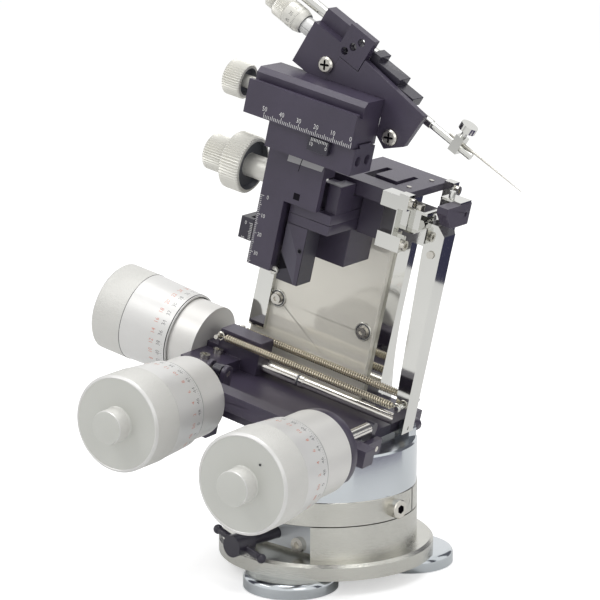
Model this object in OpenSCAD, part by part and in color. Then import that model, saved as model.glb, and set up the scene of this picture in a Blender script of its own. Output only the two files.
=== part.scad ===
// Lever micromanipulator: a leaf and lever head on a clamped turntable stand.
// Three large drum heads give the fine motion, two rack slides the coarse one,
// and a small screw drive feeds the electrode holder along its own slope.
// Stand frame: origin on the bench under the turntable axis, +Z up, +X to the right.
// Head frame: origin on the tilt pin, X along the long drum rod, Z up the head.

/* [Stand] */
// Radius of each of the three feet
foot_r = 24.5; // [20:0.5:27]
// Height of a foot under the flange
foot_h = 7.5; // [5:0.5:12]
// Radius of the circle that the feet stand on
foot_circle = 43; // [38:0.5:50]
// Radius of the bottom flange
flange_r = 56.5; // [52:0.5:62]
// Thickness of the bottom flange
flange_h = 8.3; // [6:0.1:12]
// Outer radius of the fixed ring and of the clamp collar
ring_r = 47.8; // [46:0.1:50]
// Height of the fixed ring
ring_h = 17.2; // [15:0.1:22]
// Height of the clamp collar
collar_h = 12.7; // [11.5:0.1:16]
// How far the polished turret drum stands back from the ring
turret_in = 0.4; // [0.2:0.1:1.5]
// Height of the polished turret drum
turret_h = 23.2; // [18:0.1:32]
// Radius of the spigot that turns in the fixed ring
spigot_r = 27.7; // [22:0.1:28]
// Direction of the turntable lock in degrees
lock_angle = -102; // [-110:1:-95]

/* [Tilt] */
// Tilt of the head in degrees
tilt = 13; // [0:1:20]
// Distance of the tilt pin from the turret axis
pin_x = 36; // [34:0.5:37]
// Height of the tilt pin above the turret
pin_rise = 4; // [4:0.1:6]
// Radius of the tilt pin
pin_r = 2; // [1.5:0.1:2.2]

/* [Drum heads] */
// Radius of the large drum
drum_r = 24.5; // [23.5:0.1:27]
// Length of the plain part of the drum
drum_len = 19; // [15:0.5:21]
// Radius of the front edge of the thimble
thimble_r = 22.95; // [22.6:0.05:23.3]
// Outer radius of the sleeve
sleeve_r = 21.2; // [20:0.1:21.3]
// Distance from the drum face to the mounting face
head_len = 64; // [60:0.5:72]
// Face to thimble edge on the long axis head
thimble_a = 49; // [44:0.5:50]
// Face to thimble edge on the rear cross head
thimble_b = 43; // [38:0.5:46]
// Face to thimble edge on the front cross head
thimble_c = 40; // [36:0.5:44]
// Radius of the finger knob on the drum face
finger_r = 8.5; // [6:0.5:12]
// Length of the finger knob
finger_len = 9; // [6:0.5:14]
// Radius of the spindles and push rods
rod_r = 3; // [2.4:0.1:3.2]

/* [Head] */
// Thickness of the head plate
plate_h = 5.5; // [4.5:0.1:5.5]
// Where the long axis head is mounted
a_mount_x = -117; // [-124:0.5:-112]
// Offset of the long rod behind the tilt pin's middle
a_y = 8; // [7.5:0.1:8.5]
// Height of the long rod above the tilt pin
a_z = 7; // [6.6:0.1:7.4]
// Position of the rear cross head along X
b_x = -85; // [-90:0.5:-80]
// Height of the rear cross head
b_z = 4; // [3.5:0.1:4.5]
// Where the rear cross head is mounted
b_mount_y = -59.5; // [-62:0.1:-59]
// Position of the front cross head along X
c_x = 5; // [4.5:0.1:6]
// Height of the front cross head
c_z = 15; // [14.5:0.1:17]
// Where the front cross head is mounted
c_mount_y = -87; // [-92:0.5:-84]
// Height of the polished rear frame
frame_top = 112; // [109:0.5:114]
// Thickness of the rear frame
frame_t = 7; // [6:0.1:8]
// Thickness of the polished plate
mirror_t = 4; // [3:0.1:4.2]

/* [Lever and springs] */
// Height of the lever's pivot
pivot_z = 100; // [98:0.5:103]
// Depth of the lever
lever_w = 12; // [10:0.5:13]
// Distance of each return spring from the long rod
spring_off = 9.6; // [9:0.1:10]
// Height of the return springs above the long rod
spring_up = 10.6; // [9.5:0.1:11.5]
// Outer radius of the return springs
spring_r = 2.2; // [1.8:0.1:2.4]
// Radius of the spring wire
wire_r = 0.5; // [0.4:0.05:0.55]
// Curls in each return spring
curls = 44; // [30:1:45]

/* [Fine stage] */
// Length of the top frame
top_l = 42; // [41:0.5:46]
// Depth of the top frame
top_w = 51; // [48:0.5:54]
// Thickness of the top frame
top_t = 4; // [3:0.1:5]
// Height of the top frame's underside
top_z = 125; // [124.5:0.1:126]
// Play between the stages of the fine motion
stage_gap = 0.4; // [0.3:0.05:0.5]
// Depth of the bracket plates
bracket_w = 42; // [40:0.5:44]

/* [Vertical slide] */
// Length of the vertical scale plate
vscale_l = 64; // [60:0.5:70]
// Thickness of the vertical slide's front plate
vfront_t = 4; // [3:0.1:4.2]
// Radius of the coarse wheel
wheel_r = 15; // [12:0.5:17]
// Radius of the knob on the coarse wheel
fine_r = 9.5; // [7:0.5:12]
// Height of the knob axis under the top of the slide
vknob_down = 17.5; // [16:0.5:19]

/* [Horizontal slide] */
// Length of the horizontal slide
hslide_l = 63; // [58:0.5:68]
// Height of the horizontal scale plate
hscale_h = 17.2; // [15:0.1:20]
// Depth of the horizontal slide
hslide_w = 30; // [26:0.5:32]
// Height of the horizontal rail
hrail_h = 13.5; // [12:0.1:15]
// Radius of the horizontal slide's knob
hknob_r = 9.2; // [8:0.1:9.3]

/* [Electrode drive] */
// Slope of the drive below the horizontal slide in degrees
drive_slope = 20; // [15:1:24]
// Length of the drive's dovetail carriage
carriage_l = 31; // [30:0.5:34]
// Radius of the small thimble
mic_r = 6.5; // [5.6:0.1:7]
// Radius of the guide rod
guide_r = 2.8; // [2:0.1:3]
// Radius of the accessory holes in the tab
tab_hole_r = 2; // [1.5:0.1:2.1]
// Radius of the holder rod
holder_r = 1.9; // [1.7:0.1:2.1]
// Length of the electrode
needle_l = 31; // [20:0.5:40]

/* [Fasteners and fits] */
// Radius of the large cap screw heads
cap_r = 4; // [3.4:0.1:4.2]
// Radius of the small cap screw heads
small_cap_r = 2.75; // [2.2:0.05:3]
// Radius of the slotted and cross recessed pan heads
pan_r = 4.1; // [3.4:0.1:4.4]
// Running gap between parts that turn or slide
run_gap = 0.3; // [0.2:0.05:0.35]
// Radial play of a shaft in its bore
shaft_gap = 0.08; // [0.04:0.01:0.1]
// Close gap between parts that are pressed or screwed together
fit_gap = 0.05; // [0.02:0.01:0.1]

/* [Hidden] */
$fn = 64;

// Overrun of every cut
cut = 1;
// Colours
chrome = [0.80, 0.81, 0.80];
satin = [0.86, 0.86, 0.84];
steel = [0.66, 0.64, 0.58];
brushed = [0.68, 0.69, 0.66];
anodised = [0.20, 0.19, 0.24];
dark = [0.13, 0.11, 0.17];
brass = [0.72, 0.58, 0.28];

// Box between two limits on each axis
module box(x0, x1, y0, y1, z0, z1) translate([x0, y0, z0]) cube([x1 - x0, y1 - y0, z1 - z0]);

// Round bars along each axis
module rod_x(x0, x1, y, z, r) translate([x0, y, z]) rotate([0, 90, 0]) cylinder(r = r, h = x1 - x0);
module rod_y(y0, y1, x, z, r) translate([x, y0, z]) rotate([-90, 0, 0]) cylinder(r = r, h = y1 - y0);
module rod_z(z0, z1, x, y, r) translate([x, y, z0]) cylinder(r = r, h = z1 - z0);

// The same piece in front and behind
module both_sides() {
    children();
    mirror([0, 1, 0]) children();
}

// Outline in X and Z, extruded from y0 to y1
module slab_xz(y0, y1) translate([0, y1, 0]) rotate([90, 0, 0]) linear_extrude(y1 - y0) children();

// Socket head screw on a face at zero, its head along +Z and its shank below
hex_r_share = 0.5;
hex_depth_share = 0.55;
shank_share = 0.5;
head_h_share = 0.8;
module cap_head(r) difference() {
    cylinder(r = r, h = r * head_h_share);
    translate([0, 0, r * head_h_share * hex_depth_share]) cylinder(r = r * hex_r_share, h = r, $fn = 6);
}
module cap_screw(r, l) {
    cap_head(r);
    translate([0, 0, -l]) cylinder(r = r * shank_share, h = l);
}
module screw_hole(r, l) translate([0, 0, -l]) cylinder(r = r * shank_share + fit_gap, h = l + cut);

// Shaft knob with straight knurls: a disc with a row of notches round its rim
knurl_depth_share = 0.12;
module knurled(r, h, count) {
    difference() {
        cylinder(r = r, h = h);
        for (i = [0:count - 1]) rotate([0, 0, 360 * i / count]) translate([r, 0, -cut])
            rotate([0, 0, 45]) translate([-r * knurl_depth_share / 2, -r * knurl_depth_share / 2, 0])
                cube([r * knurl_depth_share, r * knurl_depth_share, h + 2 * cut]);
    }
}

// Stand, from the bench up
foot_count = 3;
foot_turn = -84;
foot_round = 3;
flange_edge = 1.5;
flange_z = foot_h;
ring_z = flange_z + flange_h;
ring_top = ring_z + ring_h;
collar_z = ring_top + run_gap;
turret_z = collar_z + collar_h;
turret_top = turret_z + turret_h;
turret_edge = 1;
turret_r = ring_r - turret_in;
bore_r = spigot_r + shaft_gap;

module foot() rotate_extrude() {
    square([foot_r - foot_round, foot_h]);
    square([foot_r, foot_h - foot_round]);
    translate([foot_r - foot_round, foot_h - foot_round]) circle(r = foot_round);
}

// Three round feet under the flange
module feet() color(chrome)
    for (i = [0:foot_count - 1]) rotate([0, 0, foot_turn + 360 * i / foot_count])
        translate([foot_circle, 0, 0]) foot();

// Bottom flange
module flange() color(brushed) translate([0, 0, flange_z]) {
    cylinder(r = flange_r, h = flange_h - flange_edge);
    translate([0, 0, flange_h - flange_edge])
        cylinder(r1 = flange_r, r2 = flange_r - flange_edge, h = flange_edge);
}

// Turntable lock: X points out through the middle of the clamp bar
pocket_in = 14.5;
pocket_x = ring_r - pocket_in;
pocket_w = 52;
bar_t = 4.4;
bar_side_gap = 0.4;
bar_face = pocket_x + bar_t;
bar_lift = 2;
lock_z = ring_z + ring_h / 2;
lock_shaft_r = 3;
lock_hub_r = 5.8;
lock_hub_l = 12;
lock_reach = 21;
lock_hub_x = bar_face + lock_reach;
tommy_r = 1.9;
tommy_l = 32;
tommy_ball_r = 2.5;
tommy_turn = -16;
bar_screw_y = 17.2;
bar_screw_z = ring_z + cap_r + bar_lift;
bar_screw_l = 11;
pad_r = 3.4;
module in_lock() rotate([0, 0, lock_angle]) children();
module bar_screw_places() in_lock() for (side = [-1, 1])
    translate([bar_face, side * bar_screw_y, bar_screw_z]) rotate([0, 90, 0]) children();

// Fixed ring, with the flat pocket for the clamp bar and the brake pad's hole
module fixed_ring() color(brushed) difference() {
    translate([0, 0, ring_z]) cylinder(r = ring_r, h = ring_h);
    translate([0, 0, ring_z - cut]) cylinder(r = bore_r, h = ring_h + 2 * cut);
    in_lock() {
        box(pocket_x, ring_r + cut, -pocket_w / 2, pocket_w / 2, ring_z - cut, ring_top + cut);
        rod_x(0, ring_r, 0, lock_z, pad_r + fit_gap);
    }
    bar_screw_places() screw_hole(cap_r, bar_screw_l);
}

// Clamp bar across the pocket
module clamp_bar() color(brushed) difference() {
    in_lock() difference() {
        box(pocket_x, bar_face, -pocket_w / 2 + bar_side_gap, pocket_w / 2 - bar_side_gap,
            ring_z + bar_lift, ring_top);
        rod_x(0, bar_face + cut, 0, lock_z, lock_shaft_r + shaft_gap);
    }
    bar_screw_places() screw_hole(cap_r, bar_screw_l);
}

module bar_screws() color(steel) bar_screw_places() cap_screw(cap_r, bar_screw_l - cut);

// Brass pad that the lock screw presses on the spigot
module brake_pad() color(brass) in_lock()
    rod_x(bore_r + run_gap, pocket_x - fit_gap, 0, lock_z, pad_r);

module lock_screw() color(dark) in_lock() difference() {
    union() {
        rod_x(pocket_x + run_gap, lock_hub_x, 0, lock_z, lock_shaft_r);
        rod_x(lock_hub_x, lock_hub_x + lock_hub_l, 0, lock_z, lock_hub_r);
    }
    in_tommy() translate([0, 0, -tommy_l / 2]) cylinder(r = tommy_r + fit_gap, h = tommy_l);
}

module in_tommy() translate([lock_hub_x + lock_hub_l / 2, 0, lock_z])
    rotate([tommy_turn, 0, 0]) rotate([-90, 0, 0]) children();

// Sliding cross bar of the lock screw, with a ball at each end
module tommy_bar() color(steel) in_lock() in_tommy() {
    translate([0, 0, -tommy_l / 2]) cylinder(r = tommy_r, h = tommy_l);
    for (side = [-1, 1]) translate([0, 0, side * tommy_l / 2]) sphere(r = tommy_ball_r);
}

// Split collar that clamps the turret's spigot
collar_screw_in = 6.8;
collar_screw_x = ring_r - collar_screw_in;
collar_head_y = -6;
collar_bore_r = 4.6;
collar_slit = 1.6;
collar_slit_y = 2.4;
collar_screw_l = 16;
collar_cap_r = 3.6;
collar_mid = collar_z + collar_h / 2;
module in_collar_screw() translate([collar_screw_x, collar_head_y, collar_mid])
    rotate([90, 0, 0]) children();
module clamp_collar() color(brushed) difference() {
    translate([0, 0, collar_z]) cylinder(r = ring_r, h = collar_h);
    translate([0, 0, collar_z - cut]) cylinder(r = spigot_r + fit_gap, h = collar_h + 2 * cut);
    box(0, ring_r + cut, collar_slit_y, collar_slit_y + collar_slit, collar_z - cut, turret_z + cut);
    in_collar_screw() {
        cylinder(r = collar_bore_r, h = ring_r);
        screw_hole(collar_cap_r, collar_screw_l + cut);
    }
}
module collar_screw() color(steel) in_collar_screw() cap_screw(collar_cap_r, collar_screw_l);

// Tilt joint: lugs on the turret inside, knuckles of the head outside
lug_r = 4.2;
lug_in = 16;
lug_out = 24;
knuckle_r = 3.5;
knuckle_in = lug_out + run_gap;
knuckle_l = 7;
knuckle_out = knuckle_in + knuckle_l;
pin_z = turret_top + pin_rise;

// Polished turret drum on its spigot, with the two lugs of the tilt joint
module turret() color(chrome) difference() {
    union() {
        translate([0, 0, turret_z]) cylinder(r = turret_r, h = turret_h - turret_edge);
        translate([0, 0, turret_top - turret_edge])
            cylinder(r1 = turret_r, r2 = turret_r - turret_edge, h = turret_edge);
        translate([0, 0, ring_z + run_gap]) cylinder(r = spigot_r, h = turret_z - ring_z);
        both_sides() {
            box(pin_x - lug_r, pin_x + lug_r, lug_in, lug_out, turret_top - cut, pin_z);
            rod_y(lug_in, lug_out, pin_x, pin_z, lug_r);
        }
    }
    rod_y(-ring_r, ring_r, pin_x, pin_z, pin_r + fit_gap);
}

module tilt_pins() color(steel) both_sides()
    rod_y(lug_in, knuckle_out, pin_x, pin_z, pin_r);

module in_head() translate([pin_x, 0, pin_z]) rotate([0, tilt, 0]) children();

// Head plate and what stands on it
plate_gap = 0.5;
plate_z = plate_gap - pin_rise;
plate_top = plate_z + plate_h;
plate_setback = 5;
plate_x0 = a_mount_x + plate_setback;
plate_x1 = -lug_r - run_gap * 3;
beam_t = 10;
beam_back = b_mount_y + beam_t;
mirror_y = 25;
frame_y = mirror_y + mirror_t;
frame_back = frame_y + frame_t;
flare = 10;
foot_back = frame_back + flare;
plate_y1 = foot_back + cut;
rod_hole_r = rod_r + shaft_gap;
slot_half = rod_r + 2 * run_gap;

// Bell cranks: Y of each pivot, and the arm down or up to the rod
crank_arm = 9.8;
crank_hub_r = 3;
crank_pin_r = 1.5;
crank_w = 4.8;
crank_side = 0.4;
nose_gap = 0.4;
screw_travel = 3;
y_rod_out = 20.1;
z_rod_out = 52;
y_tip = b_mount_y + y_rod_out;
z_tip = c_mount_y + z_rod_out;
y_crank_y = y_tip + nose_gap + crank_hub_r;
z_crank_y = z_tip + nose_gap + crank_hub_r;
y_crank_z = b_z + crank_arm;
z_crank_z = c_z - crank_arm;
ear_t = 2.6;
ear_r = 4;
slot_y1 = y_crank_y + crank_hub_r + screw_travel + cut;

module head_plate() color(anodised) in_head() difference() {
    union() {
        box(plate_x0, plate_x1, beam_back, plate_y1, plate_z, plate_top);
        both_sides() {
            box(plate_x1 - cut, 0, knuckle_in, knuckle_out, plate_z, plate_top);
            rod_y(knuckle_in, knuckle_out, 0, 0, knuckle_r);
        }
        for (side = [-1, 1]) {
            x0 = b_x + side * slot_half;
            x1 = x0 + side * ear_t;
            box(min(x0, x1), max(x0, x1), y_crank_y - ear_r, y_crank_y + ear_r, plate_top - cut, y_crank_z);
            rod_x(min(x0, x1), max(x0, x1), y_crank_y, y_crank_z, ear_r);
        }
    }
    rod_y(-foot_back, foot_back, 0, 0, pin_r + shaft_gap);
    box(b_x - slot_half, b_x + slot_half, beam_back - cut, slot_y1, plate_z - cut, plate_top + cut);
    rod_x(b_x - slot_half - ear_t - cut, b_x + slot_half + ear_t + cut, y_crank_y, y_crank_z,
        crank_pin_r + fit_gap);
}

// Block round the long rod, with a low front part and a ridge between the springs,
// which holds their anchor pin
block_l = 22.5;
block_front = 31;
block_rear = 16.5;
spring_z = a_z + spring_up;
block_over = 3;
block_low = 6;
ridge_in = 7;
ridge_l = 26;
ridge_side = 1;
block_x1 = a_mount_x + block_l;
block_y0 = a_y - block_front;
block_y1 = a_y + block_rear;
block_top = spring_z + block_over;
low_top = plate_top + block_low;
rod_top = a_z + rod_r + ridge_side;
ridge_half = spring_off - spring_r - ridge_side;
ridge_x0 = a_mount_x + ridge_in;
anchor_in = 9;
anchor_x = a_mount_x + anchor_in;
anchor_r = 1.2;
anchor_over = 2;
anchor_half = spring_off + spring_r + anchor_over;
block_screw_x = a_mount_x + anchor_in + ridge_side;
block_screw_y = a_y - block_front / 2;
block_screw_pitch = 13;
block_screw_l = 6;

module block_screw_places() for (side = [-1, 1])
    translate([block_screw_x, block_screw_y + side * block_screw_pitch / 2 - ridge_side, low_top]) children();
module drum_block() color(anodised) in_head() difference() {
    union() {
        box(a_mount_x, block_x1, block_y0, block_y1, plate_top, low_top);
        box(a_mount_x, block_x1, a_y - ridge_half, block_y1, low_top - cut, rod_top);
        box(ridge_x0, ridge_x0 + ridge_l, a_y - ridge_half, a_y + ridge_half, rod_top - cut, block_top);
        box(block_x1 - cut, ridge_x0 + ridge_l, a_y - ridge_half, a_y + ridge_half, plate_top, rod_top);
    }
    rod_x(a_mount_x - cut, ridge_x0 + ridge_l + cut, a_y, a_z, rod_hole_r);
    rod_y(a_y - ridge_half - cut, a_y + ridge_half + cut, anchor_x, spring_z, anchor_r + fit_gap);
    block_screw_places() screw_hole(small_cap_r, block_screw_l);
}
module block_screws() color(steel) in_head() block_screw_places()
    cap_screw(small_cap_r, block_screw_l - cut);

// Cross beam that carries the two cross heads: deep behind the rear one, slim to the
// right of it, with an arm forward to the round carrier of the front one
beam_side = 1;
beam_drop = 18;
beam_under = 1.5;
beam_h = 9;
beam_past = 14;
carrier_in = 0.7;
carrier_t = 7;
carrier_r = sleeve_r - carrier_in;
carrier_drop = 10;
forearm_w = 20;
forearm_off = 1;
forearm_x1 = c_x + forearm_off;
forearm_x0 = forearm_x1 - forearm_w;
beam_x0 = b_x - sleeve_r - beam_side;
beam_mid = b_x + beam_past;
beam_x1 = c_x + beam_past;
beam_z0 = b_z - beam_drop;
beam_z1 = c_z - beam_under;
slim_z0 = beam_z1 - beam_h;
crank_x0 = c_x - crank_w / 2;
crank_x1 = c_x + crank_w / 2;
arm_x0 = crank_x1 + crank_side;
arm_t = 3.2;
arm_over = 2;
arm_z0 = z_crank_z - crank_hub_r;
arm_z1 = z_crank_z + crank_hub_r + arm_over;
module cross_beam() color(anodised) in_head() difference() {
    union() {
        box(beam_x0, beam_mid, b_mount_y, beam_back, beam_z0, beam_z1);
        box(beam_mid - cut, beam_x1, b_mount_y, beam_back, slim_z0, beam_z1);
        box(forearm_x0, forearm_x1, c_mount_y + cut, b_mount_y + cut, slim_z0, beam_z1);
        intersection() {
            rod_y(c_mount_y, c_mount_y + carrier_t, c_x, c_z, carrier_r);
            box(c_x - sleeve_r, c_x + sleeve_r, c_mount_y, c_mount_y + carrier_t, c_z - carrier_drop,
                c_z + sleeve_r);
        }
        box(arm_x0, arm_x0 + arm_t, beam_back - cut, z_crank_y + ear_r, arm_z0, arm_z1);
    }
    rod_y(b_mount_y - cut, beam_back + cut, b_x, b_z, rod_hole_r);
    rod_y(c_mount_y - cut, z_crank_y, c_x, c_z, rod_hole_r);
    rod_x(arm_x0 - cut, arm_x0 + arm_t + cut, z_crank_y, z_crank_z, crank_pin_r + fit_gap);
}

// Rear frame: upright, arm to the lever's pivot and post, with a hollow flare at its foot
frame_x0 = -106;
frame_x1 = -24.3;
flare_top = 60;
foot_lip = 2;
flare_z0 = plate_top + foot_lip;
flare_rise = flare_top - flare_z0;
flare_arc = (flare_rise * flare_rise + flare * flare) / (2 * flare);
flare_steps = 12;
crossbar_h = 18;
crossbar_z = frame_top - crossbar_h;
post_x0 = -3;
post_t = 3.4;
post_h = 16.5;
post_top = frame_top + post_h;
pivot_x = 0.5;
pivot_r = 2;
arm_reach = 10.3;
arm_tip_x = 5;
arm_root_x = -7.8;
arm_tip_x0 = -6;
lever_y0 = a_y - lever_w / 2;
lever_y1 = a_y + lever_w / 2;
pivot_y = lever_y1 + crank_side;
cap_plate_t = 1;
cap_plate_y0 = 6;
cap_plate_x1 = 8.5;
stud_x = 1;
stud_y = 10;
stud_r = 1.6;
stud_h = 3.5;
module frame_side() polygon(concat(
    [[frame_y, plate_top], [foot_back, plate_top]],
    [for (i = [0:flare_steps]) let (z = flare_z0 + flare_rise * i / flare_steps)
        [frame_back + flare_arc - sqrt(flare_arc * flare_arc - (flare_top - z) * (flare_top - z)), z]],
    [[frame_back, frame_top], [frame_y, frame_top]]));
module rear_frame() color(chrome) in_head() difference() {
    union() {
        translate([frame_x0, 0, 0]) rotate([90, 0, 90]) linear_extrude(frame_x1 - frame_x0) frame_side();
        translate([0, 0, crossbar_z]) linear_extrude(crossbar_h) polygon([
            [frame_x1 - cut, frame_back], [frame_x1 - cut, frame_y], [frame_x1 + arm_reach, frame_y],
            [arm_tip_x0, pivot_y], [arm_tip_x, pivot_y], [arm_root_x, frame_back]]);
        box(post_x0, end_x0, pivot_y, pivot_y + post_t, crossbar_z, post_top);
        box(post_x0, cap_plate_x1, cap_plate_y0, pivot_y + post_t, post_top, post_top + cap_plate_t);
        rod_z(post_top, post_top + cap_plate_t + stud_h, stud_x, stud_y, stud_r);
    }
    rod_y(0, pivot_y + pivot_in + fit_gap, pivot_x, pivot_z, pivot_r + fit_gap);
    plate_screw_places() screw_hole(small_cap_r, mirror_t + frame_t);
}

// Polished plate in front of the frame, with two screws on washers
mirror_x1 = -32.8;
mirror_top = 98;
plate_screw_in = 13.3;
plate_screw_out = 5.7;
plate_screw_z = 39.5;
washer_r = 3.5;
washer_h = 0.8;
plate_screw_l = 9;
module plate_screw_places() for (x = [frame_x0 + plate_screw_in, mirror_x1 - plate_screw_out])
    translate([x, mirror_y, plate_screw_z]) rotate([90, 0, 0]) children();
module mirror_plate() color(chrome) in_head() difference() {
    box(frame_x0, mirror_x1, mirror_y, frame_y, plate_top, mirror_top);
    plate_screw_places() screw_hole(small_cap_r, plate_screw_l + cut);
}
module plate_screws() color(steel) in_head() plate_screw_places() {
    cylinder(r = washer_r, h = washer_h);
    translate([0, 0, washer_h]) cap_screw(small_cap_r, plate_screw_l);
}

// Narrow strip on the left edge of the polished plate
strip_w = 9.7;
strip_t = 3;
strip_gap = 0.3;
strip_top = 101;
module side_strip() color(chrome) in_head()
    box(frame_x0, frame_x0 + strip_w, mirror_y - strip_t, mirror_y, block_top + strip_gap, strip_top);

// Beam from the post to the front, over the lever
end_x0 = 3;
end_w = 6;
end_y0 = -8;
end_y1 = 18;
end_bevel = 8;
end_h = 11.5;
end_hole_r = 1.3;
end_hole_y = 13.8;
end_z0 = post_top - end_h;
module end_beam() color(anodised) in_head() difference() {
    translate([end_x0, 0, 0]) rotate([90, 0, 90]) linear_extrude(end_w)
        polygon([[end_y1, end_z0], [end_y1, post_top], [end_y0, post_top],
            [end_y0, post_top - end_h + end_bevel], [end_y0 + end_bevel, end_z0]]);
    rod_x(end_x0 - cut, end_x0 + end_w + cut, end_hole_y, post_top - end_h / 2, end_hole_r);
}

// Pins fixed in the head: lever pivot, crank pins and the springs' anchor
pivot_front = 1;
pivot_in = 3.4;
module head_pins() color(steel) in_head() {
    rod_y(lever_y0 - pivot_front, pivot_y + pivot_in, pivot_x, pivot_z, pivot_r);
    rod_x(b_x - slot_half - ear_t, b_x + slot_half + ear_t, y_crank_y, y_crank_z, crank_pin_r);
    rod_x(crank_x0 - crank_side, arm_x0 + arm_t, z_crank_y, z_crank_z, crank_pin_r);
    rod_y(a_y - anchor_half, a_y + anchor_half, anchor_x, spring_z, anchor_r);
}

// Drum heads, along +Z from the drum's outer face to the mounting face
drum_edge = 1;
drum_floor = 14;
drum_gap = 0.4;
drum_groove = 0.6;
drum_step = 0.2;
knob_edge = 0.8;
sleeve_start = 24;
sleeve_wall = 4.2;
sleeve_end = 10;
rod_in = 5.6;
mount_gap = 0.05;
module drum(thimble_len) rotate_extrude() polygon([
    [0, -finger_len], [finger_r - knob_edge, -finger_len], [finger_r, knob_edge - finger_len],
    [finger_r, 0], [drum_r - drum_edge, 0], [drum_r, drum_edge], [drum_r, drum_len],
    [drum_r - drum_edge, drum_len], [drum_r - drum_edge, drum_len + drum_groove],
    [drum_r - drum_step, drum_len + drum_groove], [thimble_r, thimble_len],
    [sleeve_r + drum_gap, thimble_len], [sleeve_r + drum_gap, drum_floor], [rod_r, drum_floor],
    [rod_r, head_len - rod_in - run_gap], [0, head_len - rod_in - run_gap]]);
module sleeve() difference() {
    translate([0, 0, sleeve_start]) cylinder(r = sleeve_r, h = head_len - sleeve_start - mount_gap);
    translate([0, 0, sleeve_start - cut])
        cylinder(r = sleeve_r - sleeve_wall, h = head_len - sleeve_end - sleeve_start + cut);
    cylinder(r = rod_hole_r, h = head_len + cut);
}
module push_rod(tip) translate([0, 0, head_len - rod_in]) cylinder(r = rod_r, h = rod_in + tip);

module on_a() in_head() translate([a_mount_x - head_len, a_y, a_z]) rotate([0, 90, 0]) children();
module on_b() in_head() translate([b_x, b_mount_y - head_len, b_z]) rotate([-90, 0, 0]) children();
module on_c() in_head() translate([c_x, c_mount_y - head_len, c_z]) rotate([-90, 0, 0]) children();

module drum_a() color(satin) on_a() drum(thimble_a);
module drum_b() color(satin) on_b() drum(thimble_b);
module drum_c() color(satin) on_c() drum(thimble_c);
module sleeve_a() color(satin) on_a() sleeve();
module sleeve_b() color(satin) on_b() sleeve();
module sleeve_c() color(satin) on_c() sleeve();
module push_rod_a() color(steel) on_a() push_rod(-a_mount_x - nose_gap);
module push_rod_b() color(steel) on_b() push_rod(y_rod_out);
module push_rod_c() color(steel) on_c() push_rod(z_rod_out);

// Lever on the long rod, with the springs' cross pin and a round nose at the top
lever_foot_w = 7;
lever_z0 = 3;
lever_pad_top = 15;
lever_neck_x = -4.8;
lever_back_x = 5.7;
lever_head = 15.5;
lever_under = 11;
lever_bevel = 4.5;
lever_pin_x = 3.4;
lever_pin_r = 1.3;
lever_pin_over = 2;
nose_r = 1.5;
nose_x = -4.2;
nose_up = 13.3;
tip_hole_r = 1;
tip_hole_up = 2.5;
tip_hole_depth = 3;
lever_top = pivot_z + lever_head;
module x_lever() color(chrome) in_head() {
    difference() {
        union() {
            slab_xz(lever_y0, lever_y1) polygon([[0, lever_pad_top], [0, lever_z0],
                [lever_foot_w, lever_z0], [lever_back_x, pivot_z], [lever_back_x, pivot_z + lever_under],
                [lever_back_x - lever_bevel, lever_top], [lever_neck_x, lever_top], [lever_neck_x, pivot_z]]);
            rod_y(lever_y0, lever_y1, nose_x, pivot_z + nose_up, nose_r);
            rod_y(a_y - spring_off - lever_pin_over, a_y + spring_off + lever_pin_over,
                lever_pin_x, spring_z, lever_pin_r);
        }
        rod_y(lever_y0 - cut, lever_y1 + cut, pivot_x, pivot_z, pivot_r + shaft_gap);
        rod_x(lever_foot_w - tip_hole_depth, lever_foot_w + cut, a_y, lever_z0 + tip_hole_up, tip_hole_r);
    }
}

// Return spring: one wire that runs straight off its pin, widens in one curl,
// coils at an even pitch and narrows again to the other pin
wire_sides = 6;
curl_rings = 8;
coil_r = spring_r - wire_r;
wire_lead = 2 * wire_r;
spring_x0 = anchor_x + anchor_r;
spring_x1 = lever_pin_x - lever_pin_r;
coil_pitch = (spring_x1 - spring_x0 - 2 * wire_lead) / curls;
ring_count = curls * curl_rings;
function coil_at(i) = let (
    turn = 360 * i / curl_rings,
    swell = min(1, i / curl_rings, (ring_count - i) / curl_rings))
    [spring_x0 + wire_lead + coil_pitch * i / curl_rings,
        coil_r * swell * cos(turn), coil_r * swell * sin(turn)];
spring_route = concat([[spring_x0, 0, 0]], [for (i = [0:ring_count]) coil_at(i)], [[spring_x1, 0, 0]]);
function unit(v) = v / norm(v);
function wire_ring(i) = let (
    last = len(spring_route) - 1,
    turn = 360 * (min(max(i, 1), last - 1) - 1) / curl_rings,
    along = (i == 0 || i == last) ? [1, 0, 0] : unit(spring_route[i + 1] - spring_route[i - 1]),
    up = unit(cross(along, [0, cos(turn), sin(turn)])),
    out = cross(up, along))
    [for (k = [0:wire_sides - 1])
        spring_route[i] + wire_r * (cos(360 * k / wire_sides) * out + sin(360 * k / wire_sides) * up)];
function ring_faces(i) = [for (k = [0:wire_sides - 1]) let (
    a = i * wire_sides + k,
    b = i * wire_sides + (k + 1) % wire_sides)
    each [[a, a + wire_sides, b], [b, a + wire_sides, b + wire_sides]]];
function end_fan(first, flip) = [for (k = [1:wire_sides - 2])
    flip ? [first, first + k + 1, first + k] : [first, first + k, first + k + 1]];
module spring() {
    rings = len(spring_route);
    least_gap = min([for (i = [0:rings - 1]) for (j = [i + curl_rings / 2:min(i + 2 * curl_rings, rings - 1)])
        norm(spring_route[i] - spring_route[j])]) - 2 * wire_r;
    echo(spring_least_gap_to_itself = least_gap);
    polyhedron(
        points = [for (i = [0:rings - 1]) each wire_ring(i)],
        faces = concat([for (i = [0:rings - 2]) each ring_faces(i)],
            end_fan(0, false), end_fan((rings - 1) * wire_sides, true)));
}
module spring_front() color(steel) in_head() translate([0, a_y - spring_off, spring_z]) spring();
module spring_rear() color(steel) in_head() translate([0, a_y + spring_off, spring_z]) spring();

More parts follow.
